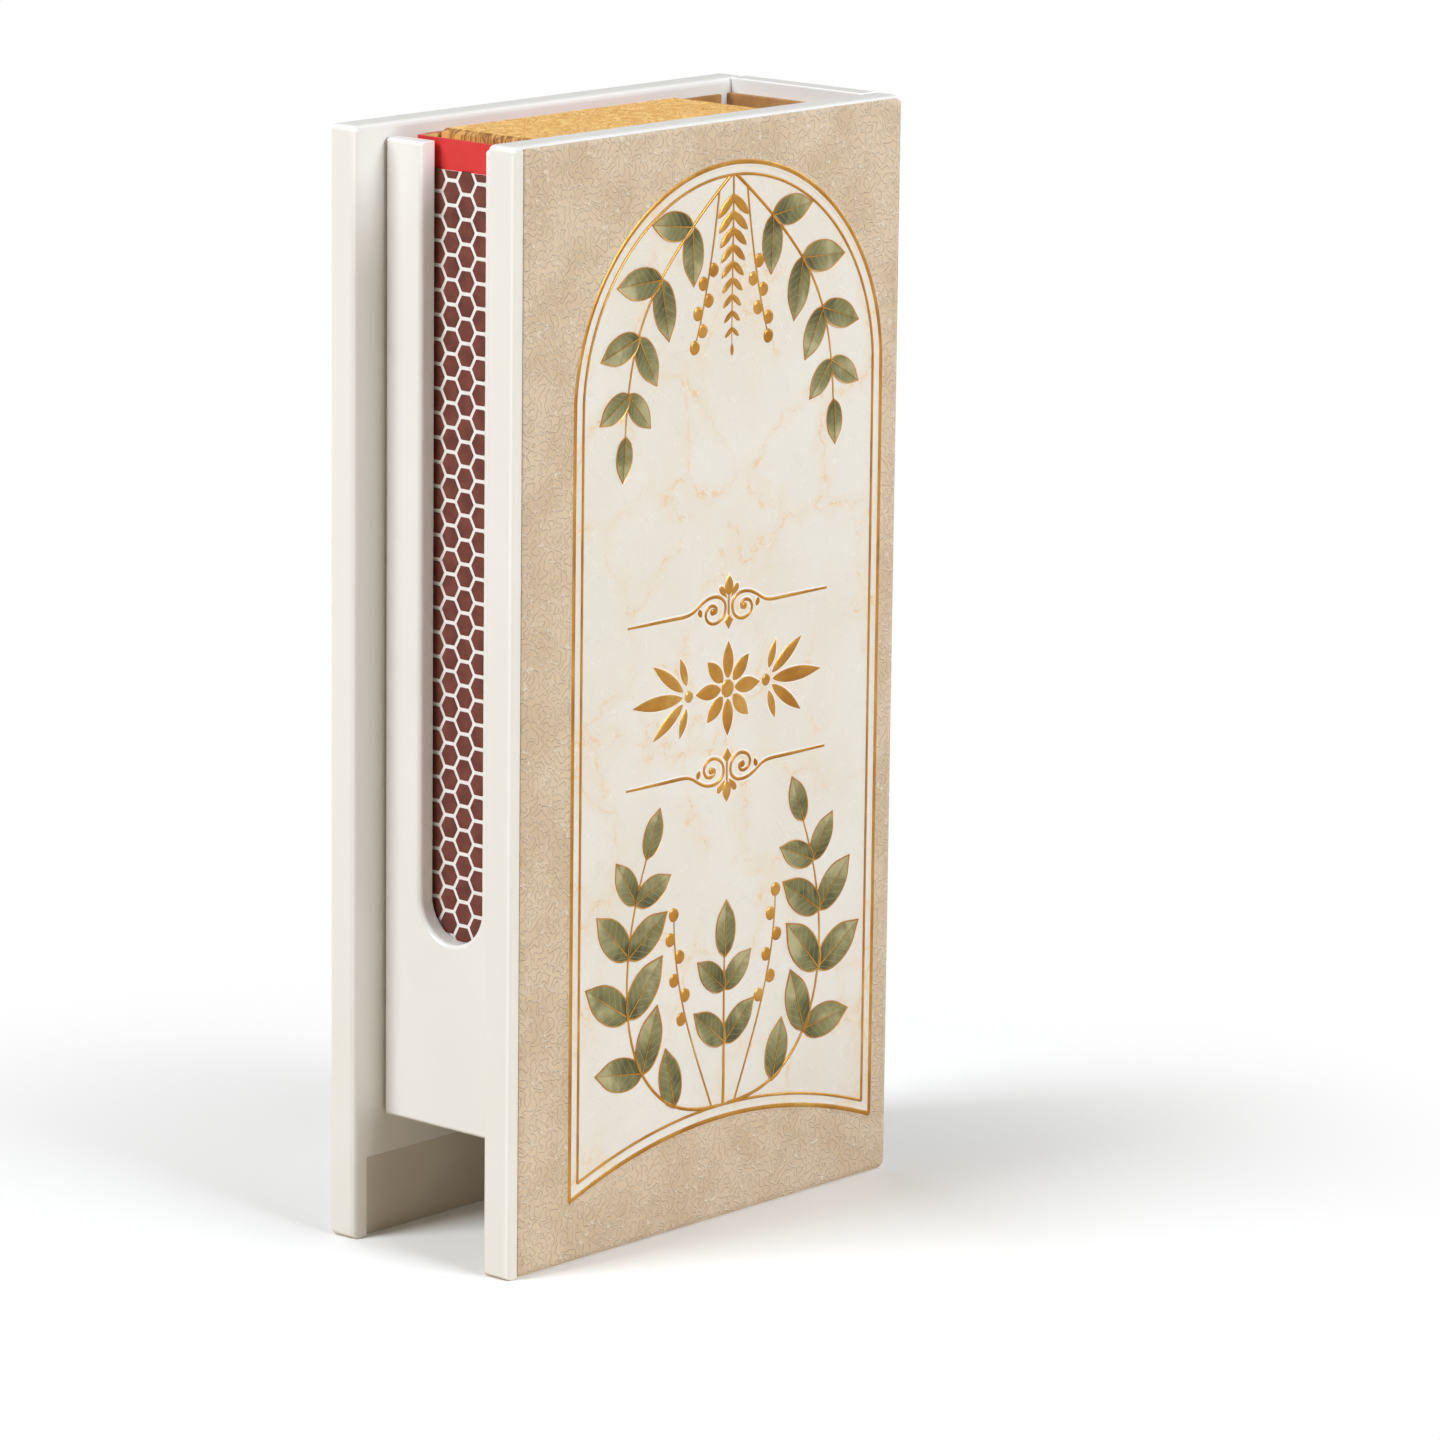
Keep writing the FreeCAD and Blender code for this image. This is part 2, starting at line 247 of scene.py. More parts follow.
def tint(share, first, second):
    """Mix two colours, each an output or a 0 to 255 triple."""
    node = add("Mix", {0: share}, data_type="RGBA")
    for socket, value in ((node.inputs[6], first), (node.inputs[7], second)):
        connect(value if is_output(value) else colour(value), socket)
    return node.outputs[2]


def grain(place, scale, detail=2.0, stretch=(1, 1, 1), distortion=0.0, roughness=0.5):
    """Cloudy noise: so many features to the millimetre, stretched along each axis."""
    inputs = {"Vector": scaled(place, stretch), "Scale": scale, "Detail": detail,
              "Distortion": distortion, "Roughness": roughness}
    return add("TexNoise", inputs).outputs["Fac"]


def dress(material, paint, roughness, height, constants=None, *, depth, strength):
    """Finish a material: its colour, roughness, relief in millimetres, and constants."""
    bump = add("Bump", {"Height": height, "Distance": depth * MM, "Strength": strength})
    inputs = {"Base Color": paint, "Roughness": roughness, "Normal": bump.outputs["Normal"]}
    for name, value in {**inputs, **(constants or {})}.items():
        connect(value, material.node_tree.nodes["Principled BSDF"].inputs[name])
    return material


def lacquer_finish(name, light, deep):
    """Warm white satin lacquer: hardly clouded, with the faint orange peel of a sprayed coat."""
    material, place = start_finish(name)
    clouds = span(grain(place, 0.06), 0.35, 0.65)
    gloss = spread(grain(place, 0.5), 0.30, 0.40)
    peel = grain(place, 1.4, 1.0)
    return dress(material, tint(clouds, light, deep), gloss, peel, LACQUER_COAT, depth=0.01, strength=0.35)


def touch_up(piece, finish, wanted):
    """Give the faces that pass a test a finish of their own."""
    piece.data.materials.append(finish)
    select_faces(piece, wanted)
    paint_selected(piece, len(piece.data.materials) - 1)
    enter("OBJECT")


def paint_selected(piece, finish_number):
    """Give the selected faces one of the piece's finishes."""
    piece.active_material_index = finish_number
    bpy.ops.object.material_slot_assign()


def coat(piece, node, on_edge=lambda normal: True):
    """Lacquer a piece, with a painted highlight on the crests of its edges, and seat it in its node's place.
    """
    surface(piece, lacquer)
    # the crest faces take a paler lacquer: a painted highlight along the edges
    touch_up(piece, painted_highlight_lacquer,
             lambda middle, normal: on_edge(normal) and max(map(abs, normal)) < CREST)
    seat(piece, "holder", "white_lacquer", node)


def lacquered_board(name, node, inner_face, exposed):
    """A board with the edges of its exposed faces rounded and the relief milled into its inner face."""
    low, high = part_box(node)
    board = begin_block(name, low, high)
    round_edges(board, lambda *ends: any(lies_on(face)(*ends) for face in exposed), BOARD_ROUND)
    cutter_low = Vector((low.x + RELIEF_INSET, inner_face - RELIEF_DEPTH, -RELIEF_HEIGHT))
    cutter_high = Vector((high.x - RELIEF_INSET, inner_face + RELIEF_DEPTH, RELIEF_HEIGHT))
    cut_away(board, begin_block("relief_cutter", cutter_low, cutter_high))
    break_arrises(board, ARRIS)
    coat(board, node)
    # the milled relief takes a darker lacquer: painted shade in the recess
    touch_up(board, painted_shade_lacquer, lambda middle, normal: middle.z < RELIEF_HEIGHT and abs(normal.y) > CREST
             and any(near(middle.y, corner.y) for corner in (cutter_low, cutter_high)))


lacquer = lacquer_finish("white_lacquer", *LACQUER)
painted_highlight_lacquer = lacquer_finish("painted_highlight_lacquer", *PAINTED_HIGHLIGHT_LACQUER)
# a darker lacquer, painted shade for the milled relief
painted_shade_lacquer = lacquer_finish("painted_shade_lacquer", *PAINTED_SHADE_LACQUER)
back_low, back_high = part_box("back_board")
lacquered_board("lacquered_back_board", "back_board", back_low.y,
                ((0, back_low.x), (1, back_high.y), (2, back_high.z)))


# Front board: the second board, which carries the facing, made and lacquered as the back board is. Only its
# left end and its upper edge show, so only these are rounded over.
front_low, front_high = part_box("front_board")
lacquered_board("lacquered_front_board", "front_board", front_high.y, ((0, front_low.x), (2, front_high.z)))


# End wall: a lacquered strip glued between the boards at their right ends, flush with them and with the rim.
# Its edges keep a fine arris, which shows as a hairline at the joints.
END_ARRIS = 0.2 * MM


def lacquered_panel(name, node, arris):
    panel = begin_block(name, *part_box(node))
    break_arrises(panel, arris)
    coat(panel, node)


lacquered_panel("lacquered_end_wall", "end_wall", END_ARRIS)


# Slotted wall: the narrow side wall, set back from the boards' ends and glued between them. A round-bottomed
# slot, open at the top, is routed through it, and the cut edges are eased before lacquering.
SLOT_WIDTH = 8.8 * MM
SLOT_FOOT = 20.4 * MM
SLOT_ROUND = 0.6 * MM
SLOT_SIDES = 64
ON_ROUND = 0.4
JOINT_GAP = 0.15 * MM

wall_low, wall_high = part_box("slotted_wall")
striker_low, striker_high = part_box("striker_left")
slot_y = (striker_low.y + striker_high.y) / 2
slot_z = wall_low.z + SLOT_FOOT + SLOT_WIDTH / 2
# a hairline stays open in the joint with the back board
wall = begin_block("lacquered_slotted_wall", wall_low, wall_high - Vector((0, JOINT_GAP, 0)))
slot_cutter = begin("slot_cutter", bpy.ops.mesh.primitive_cylinder_add, vertices=SLOT_SIDES,
                    radius=SLOT_WIDTH / 2, depth=4 * SLOT_WIDTH, location=(wall_low.x, slot_y, slot_z),
                    rotation=(0, pi / 2, 0))
# the upper half of the round cutter is drawn up past the rim, which leaves the slot's straight sides
select_edges(slot_cutter, lambda first, second: min(first.z, second.z) > slot_z - ARRIS / 2)
bpy.ops.transform.translate(value=(0, 0, wall_high.z - slot_z + SLOT_WIDTH))
enter("OBJECT")
cut_away(wall, slot_cutter)
round_edges(wall, lies_on((0, wall_low.x)), SLOT_ROUND)
break_arrises(wall, ARRIS)
coat(wall, "slotted_wall", lambda normal: abs(normal.x) > ON_ROUND)


# Floor panel: the raised floor that the matchbox stands on, a lacquered strip of the walls' board. It is
# glued between the boards and the walls, high enough for fingertips to reach under it.
lacquered_panel("lacquered_floor", "floor_panel", ARRIS)


# Linings: two sheets of kraft card glued inside, on the back board and on the end wall, a little short of
# the rim. The card is unbleached, flecked with darker fibres, and slightly furred where it was cut.
KRAFT = ((196, 148, 90), (168, 120, 68), (134, 92, 50))
LINER_ARRIS = 0.12 * MM


def card_finish(name, light, deep, fleck):
    """Unbleached card: clouded pulp with darker fibres drawn out along it."""
    material, place = start_finish(name)
    clouds = spread(grain(place, 0.35, 4.0))
    threads = grain(place, 1.5, 3.0, stretch=(0.5, 2.2, 3.0), distortion=1.5)
    flecks = span(threads, 0.60, 0.72, 0.0, 0.75)
    pulp = tint(flecks, tint(clouds, light, deep), fleck)
    return dress(material, pulp, span(clouds, 0.0, 1.0, 0.72, 0.9), threads, depth=0.06, strength=0.7)


kraft = card_finish("kraft_card", *KRAFT)
for liner_node in ("back_liner", "end_liner"):
    liner = begin_block("kraft_" + liner_node, *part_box(liner_node))
    break_arrises(liner, LINER_ARRIS)
    surface(liner, kraft)
    seat(liner, "holder", "kraft_card", liner_node)


# Facing: a thin panel covered in coated leatherette and glued on the front board, its edges rolled over the
# core and mitred at the corners. Inside an arch the cover is printed as cream marble; round the arch it is
# beige and pressed with a fine worm-like wrinkle.
RELIEF = 0.18 * MM
ROLL_STEPS = ((0.22 * MM, 0.15 * MM), (0.30 * MM, 0.10 * MM), (0.38 * MM, 0.04 * MM))
CORNER_ROUND = 0.9 * MM
SQUARE_ON = 0.9
# the arch in millimetres: its middle line, half its width, where its curve springs, the mound at its foot
ARCH_X = 2.9
ARCH_HALF = 24.4
ARCH_SPRING = 91.0
MOUND_FOOT = 7.0
MOUND_RISE = 4.6
CREAM = (234, 231, 226)
CREAM_DEEP = (229, 224, 215)
VEIN = (232, 198, 148)
VEIN_CELLS = 0.085
VEIN_WARP = 8.0
VEIN_WIDTH = 0.022
BLUSH = (233, 217, 195)
BLUSH_WIDTH = 0.16
FIBRE = (241, 239, 234)
FIBRE_SLANTS = (0.6, -0.9)
FIBRE_WIDTH = 0.025
FIBRE_SHARE = 0.55
FIBRE_RISE = 0.3
BEIGE = (218, 197, 172)
BEIGE_DEEP = (207, 184, 156)
BEIGE_RIDGE_HIGHLIGHT = (231, 219, 203)
WRINKLES = 1.2
RIDGE_WIDTH = 0.08
RIDGE_SHARE = 0.65
COVER_COAT = {"Coat Weight": 0.15, "Coat Roughness": 0.3}

facing_low, facing_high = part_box("front_facing")
ground_y = facing_low.y + RELIEF
roll_depth = sum(depth for width, depth in ROLL_STEPS)


def inside_arch(place):
    """1 inside the arched window of the design and 0 outside it."""
    axes = add("SeparateXYZ", {0: place}).outputs
    across = sum_of("SUBTRACT", axes["X"], ARCH_X)
    across = times(across, across)
    above = sum_of("MAXIMUM", sum_of("SUBTRACT", axes["Z"], ARCH_SPRING), 0.0)
    away = sum_of("ADD", across, times(above, above))
    under_arch = sum_of("LESS_THAN", away, ARCH_HALF ** 2)
    sink = times(sum_of("DIVIDE", across, ARCH_HALF ** 2), MOUND_RISE)
    mound = sum_of("SUBTRACT", MOUND_FOOT + MOUND_RISE, sink)
    return times(under_arch, sum_of("GREATER_THAN", axes["Z"], mound))


def turned(place, axis, angle):
    return add("VectorRotate", {"Vector": place, "Angle": angle}, rotation_type=axis).outputs[0]


def off_middle(value):
    """How far a value lies from one half."""
    return sum_of("ABSOLUTE", sum_of("SUBTRACT", value, 0.5))


def facing_finish():
    """The cover: marble with fibres inside the arch, wrinkled beige round it."""
    material, place = start_finish("embossed_facing")
    window = inside_arch(place)
    # marble: soft clouds, thin peach veins that break up and fade, a faint blush beside them
    clouds = span(grain(place, 0.05, 3.0), 0.35, 0.68)
    warp = add("TexNoise", {"Vector": place, "Scale": 0.22, "Detail": 5.0, "Roughness": 0.62})
    bend = {0: warp.outputs["Color"], 1: (VEIN_WARP,) * 3, 2: place}
    bent = add("VectorMath", bend, operation="MULTIPLY_ADD").outputs[0]
    cells = add("TexVoronoi", {"Vector": bent, "Scale": VEIN_CELLS}, feature="DISTANCE_TO_EDGE")
    cracks = cells.outputs["Distance"]
    patches = span(grain(place, 0.07, 2.0), 0.41, 0.57)
    broken = times(patches, span(grain(place, 0.45, 2.0), 0.40, 0.62))
    veins = times(span(cracks, 0.0, VEIN_WIDTH, 0.8, 0.0), broken)
    blush = times(span(cracks, 0.0, BLUSH_WIDTH, 0.45, 0.0), patches)
    marble = tint(clouds, CREAM, CREAM_DEEP)
    marble = tint(blush, marble, BLUSH)
    marble = tint(veins, marble, VEIN)
    # fine pale fibres: the sharp crests of two slanted noises
    fibres = 0.0
    for slant in FIBRE_SLANTS:
        slanted = turned(place, "Y_AXIS", slant)
        crest = off_middle(grain(slanted, 0.55, 1.0, (0.5, 1, 2.2)))
        sparse = span(grain(slanted, 0.8, 1.0), 0.50, 0.62)
        line = times(span(crest, 0.0, FIBRE_WIDTH, 1.0, 0.0), sparse)
        fibres = sum_of("MAXIMUM", fibres, line)
    marble = tint(times(fibres, FIBRE_SHARE), marble, FIBRE)
    # pressed wrinkle: fine ridges along the middle contour of a flat noise, over broad darker patches;
    # the ridges are tinted paler, a painted highlight on their crests
    flat = turned(place, "X_AXIS", pi / 2)
    hills = add("TexNoise", {"Vector": flat, "Scale": WRINKLES, "Detail": 0.0, "Distortion": 0.3},
                noise_dimensions="2D").outputs["Fac"]
    ridges = span(off_middle(hills), 0.0, RIDGE_WIDTH, 1.0, 0.0)
    beige = tint(span(grain(place, 0.16, 3.0), 0.36, 0.64), BEIGE_DEEP, BEIGE)
    beige = tint(times(ridges, RIDGE_SHARE), beige, BEIGE_RIDGE_HIGHLIGHT)
    border = times(sum_of("SUBTRACT", 1.0, window), ridges)
    height = sum_of("ADD", times(fibres, FIBRE_RISE), border)
    gloss = sum_of("ADD", 0.40, times(clouds, 0.1))
    return dress(material, tint(window, beige, marble), gloss, height, COVER_COAT, depth=0.1, strength=0.9)


facing = begin_block("leatherette_facing",
                     Vector((facing_low.x, ground_y + roll_depth, facing_low.z)), facing_high)
for corner_z in (facing_low.z, facing_high.z):
    round_edges(facing, lies_on((0, facing_high.x), (2, corner_z)), CORNER_ROUND)
select_faces(facing, lambda middle, normal: normal.y < -SQUARE_ON)
for roll_width, roll_rise in ROLL_STEPS:
    bpy.ops.mesh.inset(thickness=roll_width, depth=roll_rise)
enter("OBJECT")
cover = facing_finish()
surface(facing, cover)
seat(facing, "holder", "embossed_facing", "front_facing")


# Gold arch: a bold and a fine line of raised gold foil round the window, and the same along the mound at its
# foot. The foil is pressed over a half-round bead in the cover. All widths are in millimetres.
BOLD_LINE = 0.56
FINE_LINE = 0.32
LINE_GAP = 1.3
LINE_RISE = 0.15
LIP_WIDTH = 1.15
LIP_RISE = 0.07
BEAD_SIDES = 4
ARCH_STEPS = 24
MOUND_STEPS = 16
GOLD = (205, 152, 70)
GOLD_LIGHT = (224, 180, 104)
GOLD_DEEP = (184, 128, 50)
GOLD_METAL = {"Metallic": 0.7}


def gold_finish():
    """Gold foil: mottled, half metal, and a little uneven from the press."""
    material, place = start_finish("gold_foil")
    mottle = grain(place, 0.2, 3.0)
    foil = tint(span(mottle, 0.3, 0.55), GOLD_DEEP, GOLD)
    foil = tint(span(mottle, 0.55, 0.75), foil, GOLD_LIGHT)
    gloss = spread(grain(place, 2.5), 0.28, 0.42)
    return dress(material, foil, gloss, grain(place, 5.0, 2.0), GOLD_METAL, depth=0.01, strength=0.5)


def draw_line(points, radii, order=4, smooth=6):
    """Draw a smooth open line on the facing through points in millimetres across and up."""
    line = begin("line", bpy.ops.curve.primitive_nurbs_path_add, location=(0, 0, 0))
    line.data.splines.clear()
    spline = line.data.splines.new("NURBS")
    spline.points.add(len(points) - 1)
    for point, (across, up), radius in zip(spline.points, points, radii):
        point.co = (across * MM, ground_y, up * MM, 1)
        point.radius = radius
    spline.order_u = min(order, len(points))
    spline.use_endpoint_u = True
    line.data.dimensions = "3D"
    line.data.resolution_u = smooth
    return line


def bead(line, width, rise=LINE_RISE):
    """Turn a drawn line into a raised half-round bead, tapered by the line's own radii."""
    line.data.bevel_depth = width / 2 * MM
    line.data.bevel_resolution = BEAD_SIDES
    line.data.use_fill_caps = True
    make_active(line)
    bpy.ops.object.convert(target="MESH")
    flat = rise / (width / 2)
    settle = Matrix.Translation((0, ground_y, 0)) @ Matrix.Diagonal((1, flat, 1, 1))
    line.data.transform(settle @ Matrix.Translation((0, -ground_y, 0)))
    return line


def join(name, pieces):
    """Join pieces under one name, with their place in the mesh."""
    make_active(*pieces)
    bpy.ops.object.join()
    joined = bpy.context.active_object
    joined.name = name
    bpy.ops.object.transform_apply()
    return joined


def join_trim(name, pieces, finish=None):
    """Join trim of the facing, in one finish or its own, and let it ride the holder."""
    trim_piece = join(name, pieces)
    bpy.ops.object.shade_smooth_by_angle(angle=SMOOTH)
    if finish:
        trim_piece.data.materials.clear()
        trim_piece.data.materials.append(finish)
    seat(trim_piece, "holder", "embossed_facing")


def arch_points(inset):
    """The arch's line inside its edge: two legs and a half circle between them."""
    half = ARCH_HALF - inset
    turns = [pi * step / ARCH_STEPS for step in range(ARCH_STEPS + 1)]
    crown = [(ARCH_X - half * cos(turn), ARCH_SPRING + half * sin(turn)) for turn in turns]
    foot = MOUND_FOOT + inset + MOUND_RISE * (1 - (half / ARCH_HALF) ** 2)
    return [(ARCH_X - half, foot), *crown, (ARCH_X + half, foot)]


def mound_points(lift):
    """The mound's line at a height above its edge."""
    reach = ARCH_HALF - lift
    shares = [2 * step / MOUND_STEPS - 1 for step in range(MOUND_STEPS + 1)]
    return [(ARCH_X + reach * share, MOUND_FOOT + lift + MOUND_RISE * (1 - (share * reach / ARCH_HALF) ** 2))
            for share in shares]


gold = gold_finish()
lines = []
lips = []
for inset, line_width in ((0, BOLD_LINE), (LINE_GAP, FINE_LINE)):
    for points in (arch_points(inset), mound_points(inset)):
        even = [1] * len(points)
        lines.append(bead(draw_line(points, even, order=3), line_width))
        if inset == 0:
            lips.append(bead(draw_line(points, even, order=3), LIP_WIDTH, LIP_RISE))
join_trim("gold_arch_lines", lines, gold)
join_trim("pressed_arch_lip", lips, cover)


# Eucalyptus sprays: two stems that rise from the mound along the sides of the window, a short one between
# them, and two that hang from the crown. The round leaves are printed in sage green washes on low pads, each
# with a rim and a midrib of gold foil.
LEAF_SIDES = 40
# a leaf is modelled a unit long: how far its tip and root are drawn out, and how much of it follows
LEAF_TIP = 0.14
LEAF_TIP_REACH = 0.34
LEAF_ROOT = 0.05
LEAF_ROOT_REACH = 0.2
LEAF_RIM = 0.03
PAD_RISE = 0.15
UNDER_RISE = 0.6
BLADE_DROP = 0.05
BLADE_SLACK = 0.01
MIDRIB_ROOT = 0.024
MIDRIB_END = 1.2
MIDRIB_RISE = 0.8
LEAF_BREADTH = 0.58
LEAF_SPREAD = radians(50)
STEM_WIDTH = 0.42
STEM_TAPER = 0.5
NEARLY = 0.9999
SAGE = (126, 122, 78)
SAGE_DEEP = (74, 73, 38)
SAGE_PALE = (180, 173, 132)
SIDE_VEINS = 44.0
VEIN_SLANT = 11.0
# each stem from the arch's middle line, and where its leaves grow: a share of the stem, a length, and one,
# two, or none but the one at the tip
SIDE_STEM = ((0.8, 12.9), (6.3, 12.9), (12.0, 16.2), (15.3, 22.6), (15.9, 30.2), (14.7, 37.2), (12.6, 42.4))
SIDE_LEAVES = ((0.19, 6.0, 1), (0.37, 6.6, 2), (0.55, 7.0, 2), (0.72, 6.4, 2), (0.87, 5.2, 2), (1.0, 4.8, 0))
CROWN_STEM = ((0.5, 114.0), (5.0, 110.6), (10.0, 105.8), (14.0, 100.8), (16.2, 94.6), (16.6, 88.0))
CROWN_LEAVES = ((0.24, 5.6, 2), (0.46, 6.0, 2), (0.67, 5.4, 2), (0.86, 4.6, 2), (1.0, 4.2, 0))
MIDDLE_STEM = ((0.0, 12.9), (0.15, 19.0), (-0.15, 25.0), (0.0, 29.5))
MIDDLE_LEAVES = ((0.42, 5.6, 2), (0.78, 5.0, 2), (1.0, 5.4, 0))


def nudge(piece, point, move, reach):
    """Draw a piece out at one point, the mesh within reach following smoothly."""
    clear_selection(piece, "VERT")
    min(piece.data.vertices, key=lambda vertex: (vertex.co - Vector(point)).length).select = True
    enter("EDIT")
    bpy.ops.transform.translate(value=move, use_proportional_edit=True, proportional_edit_falloff="SHARP",
                                proportional_size=reach)
    enter("OBJECT")


def begin_pad(name, sides, finish):
    """A filled disc one unit long, its root at the origin and its tip along X."""
    pad = begin(name, bpy.ops.mesh.primitive_circle_add, vertices=sides, radius=0.5, fill_type="NGON",
                location=(0.5, 0, 0), rotation=(0, 0, -pi / 2))
    pad.data.materials.append(finish)
    return pad


def thicken(pad, rise):
    """Raise a flat pad into a closed solid, its top face left selected in edit mode."""
    select_faces(pad, lambda middle, normal: True)
    bpy.ops.mesh.extrude_region_move(TRANSFORM_OT_translate={"value": (0, 0, rise)})
    bpy.ops.mesh.select_all(action="SELECT")
    bpy.ops.mesh.normals_make_consistent(inside=False)
    enter("OBJECT")
    select_faces(pad, lambda middle, normal: normal.z > SQUARE_ON and middle.z > rise / 2)


def leaf_finish():
    """Watercolour greens: dark at the root and along one half, pale at the tip, with faint side veins."""
    material, place = start_finish("sage_wash")
    blade = add("SeparateXYZ", {0: add("TexCoord", {}, place.id_data).outputs["UV"]}).outputs
    wash = grain(place, 0.32, 3.0, distortion=0.6)
    shade = sum_of("ADD", times(blade["Y"], 0.5), wash)
    half = times(sum_of("GREATER_THAN", blade["X"], 0.5), 0.12)
    shade = sum_of("SUBTRACT", shade, half)
    green = tint(span(shade, 0.35, 0.75), SAGE_DEEP, SAGE)
    green = tint(span(shade, 0.70, 1.05), green, SAGE_PALE)
    off_rib = times(off_middle(blade["X"]), 2.0)
    slant = sum_of("SUBTRACT", times(blade["Y"], SIDE_VEINS), times(off_rib, VEIN_SLANT))
    veins = span(sum_of("SINE", slant), 0.82, 1.0, 0.0, 0.30)
    green = tint(veins, green, SAGE_PALE)
    height = sum_of("ADD", wash, veins)
    return dress(material, green, spread(wash, 0.42, 0.55), height, depth=0.02, strength=0.6)


def on_blade(middle, normal):
    """Whether a face of the leaf's blank lies on its sunken blade."""
    return near(middle.z, PAD_RISE - BLADE_DROP, BLADE_SLACK) and normal.z > SQUARE_ON


def copy_of(blank):
    copy = blank.copy()
    copy.data = blank.data.copy()
    bpy.context.collection.objects.link(copy)
    return copy


def lay(blank, across, up, heading, length, breadth, rise=1.0):
    """Lay a copy of a blank on the facing, its root at a place and its tip along a heading."""
    copy = copy_of(blank)
    size = Matrix.Diagonal((length * MM, breadth * MM, rise * MM, 1))
    turn = Matrix.Rotation(pi / 2, 4, "X") @ Matrix.Rotation(heading, 4, "Z")
    copy.matrix_world = Matrix.Translation((across * MM, ground_y, up * MM)) @ turn @ size
    return copy


def stations(line, shares):
    """Places along a drawn line at shares of its length, each with the line's heading there."""
    evaluated = line.evaluated_get(bpy.context.evaluated_depsgraph_get())
    path_mesh = bpy.data.meshes.new_from_object(evaluated)
    path = [vertex.co / MM for vertex in path_mesh.vertices]
    bpy.data.meshes.remove(path_mesh)
    reached = [0.0]
    for start, end in zip(path, path[1:]):
        reached.append(reached[-1] + (end - start).length)
    places = []
    for share in shares:
        wanted = share * reached[-1]
        step = next(number for number in range(1, len(path)) if reached[number] >= wanted * NEARLY)
        start, end = path[step - 1], path[step]
        spot = start.lerp(end, (wanted - reached[step - 1]) / (reached[step] - reached[step - 1]))
        run = end - start
        places.append((spot.x, spot.z, atan2(run.z, run.x)))
    return places


def mirrored(points, side):
    """Points given from the arch's middle line, on its right side or, with -1, its left."""
    return [(ARCH_X + side * across, up) for across, up in points]


def spray(points, growth, side):
    """A stem with its leaves, in pairs of which the outer lies lower, single, or at the tip."""
    taper = [1.0 - STEM_TAPER * step / (len(points) - 1) for step in range(len(points))]
    stem = draw_line(mirrored(points, side), taper)
    for share, length, count in growth:
        across, up, heading = stations(stem, [share])[0]
        turns = (side * LEAF_SPREAD, -side * LEAF_SPREAD)[:count] if count else (0.0,)
        for turn, rise in zip(turns, (1.0, UNDER_RISE)):
            leaves.append(lay(leaf, across, up, heading + turn, length, length * LEAF_BREADTH, rise))
    stems.append(bead(stem, STEM_WIDTH))


sage = leaf_finish()
# one leaf is modelled: a gold-rimmed pad with a sage blade and a tapering gold midrib
leaf = begin_pad("leaf_blank", LEAF_SIDES, gold)
leaf.data.materials.append(sage)
nudge(leaf, (1, 0, 0), (LEAF_TIP, 0, 0), LEAF_TIP_REACH)
nudge(leaf, (0, 0, 0), (-LEAF_ROOT, 0, 0), LEAF_ROOT_REACH)
thicken(leaf, PAD_RISE)
bpy.ops.mesh.inset(thickness=LEAF_RIM)
bpy.ops.transform.translate(value=(0, 0, -BLADE_DROP))
paint_selected(leaf, 1)
for side in (1, -1):
    enter("OBJECT")
    select_faces(leaf, on_blade)
    bpy.ops.mesh.bisect(plane_co=(MIDRIB_END, 0, 0), plane_no=(side * MIDRIB_ROOT / MIDRIB_END, 1, 0))
enter("OBJECT")
select_faces(leaf, lambda middle, normal: on_blade(middle, normal) and abs(middle.y) < MIDRIB_ROOT / 2)
paint_selected(leaf, 0)
bpy.ops.mesh.extrude_region_move(TRANSFORM_OT_translate={"value": (0, 0, BLADE_DROP * MIDRIB_RISE)})
enter("OBJECT")
leaves = []
stems = []
for side in (1, -1):
    spray(SIDE_STEM, SIDE_LEAVES, side)
    spray(CROWN_STEM, CROWN_LEAVES, side)
spray(MIDDLE_STEM, MIDDLE_LEAVES, 1)
bpy.data.objects.remove(leaf)
join_trim("eucalyptus_leaves", leaves)


# Gold fern and berries: a fine frond that hangs from the crown, and stalks of round berries set among the
# leaves, all in raised foil.
FERN_STEM = ((0.0, 114.0), (0.1, 107.0), (-0.1, 101.0), (0.0, 96.0))
FERN_TAPER = (1.0, 0.9, 0.7, 0.4)
FERN_BARE = 0.12
FERN_LEAFLETS = 9
FERN_LONGEST = 3.0
FERN_SHORTEST = 1.1
FERN_BREADTH = 0.36
FERN_SPREAD = radians(48)
FERN_WIDTH = 0.26
FERN_RISE = 0.12
BERRY_STALKS = (
    ((1.8, 12.9), (4.6, 19.6), (8.0, 26.0), (8.2, 34.6)),
    ((2.2, 112.8), (3.0, 106.6), (4.2, 101.0), (5.6, 97.0)),
)
STALK_TAPER = (1.0, 0.9, 0.8, 0.7)
BERRY_SHARES = (0.50, 0.60, 0.70, 0.80, 0.90, 1.0)
BERRY_SPREAD = radians(55)
BERRY_SIZE = 1.55
BERRY_RISE = 0.17
BERRY_EYE = 0.04
BERRY_EYE_REACH = 0.2
DROP_SIDES = 24
DROP_REACH = 0.5
DROP_INSET = 0.11
DROP_BEVEL = 0.09


def drop_blank(name, root, tip, sides=DROP_SIDES):
    """One gold drop, drawn out at its root and its tip, with a flat top and a bevelled edge."""
    drop = begin_pad(name, sides, gold)
    nudge(drop, (1, 0, 0), (tip, 0, 0), DROP_REACH)
    nudge(drop, (0, 0, 0), (-root, 0, 0), DROP_REACH)
    thicken(drop, PAD_RISE - DROP_BEVEL)
    bpy.ops.mesh.inset(thickness=DROP_INSET, depth=DROP_BEVEL)
    enter("OBJECT")
    return drop


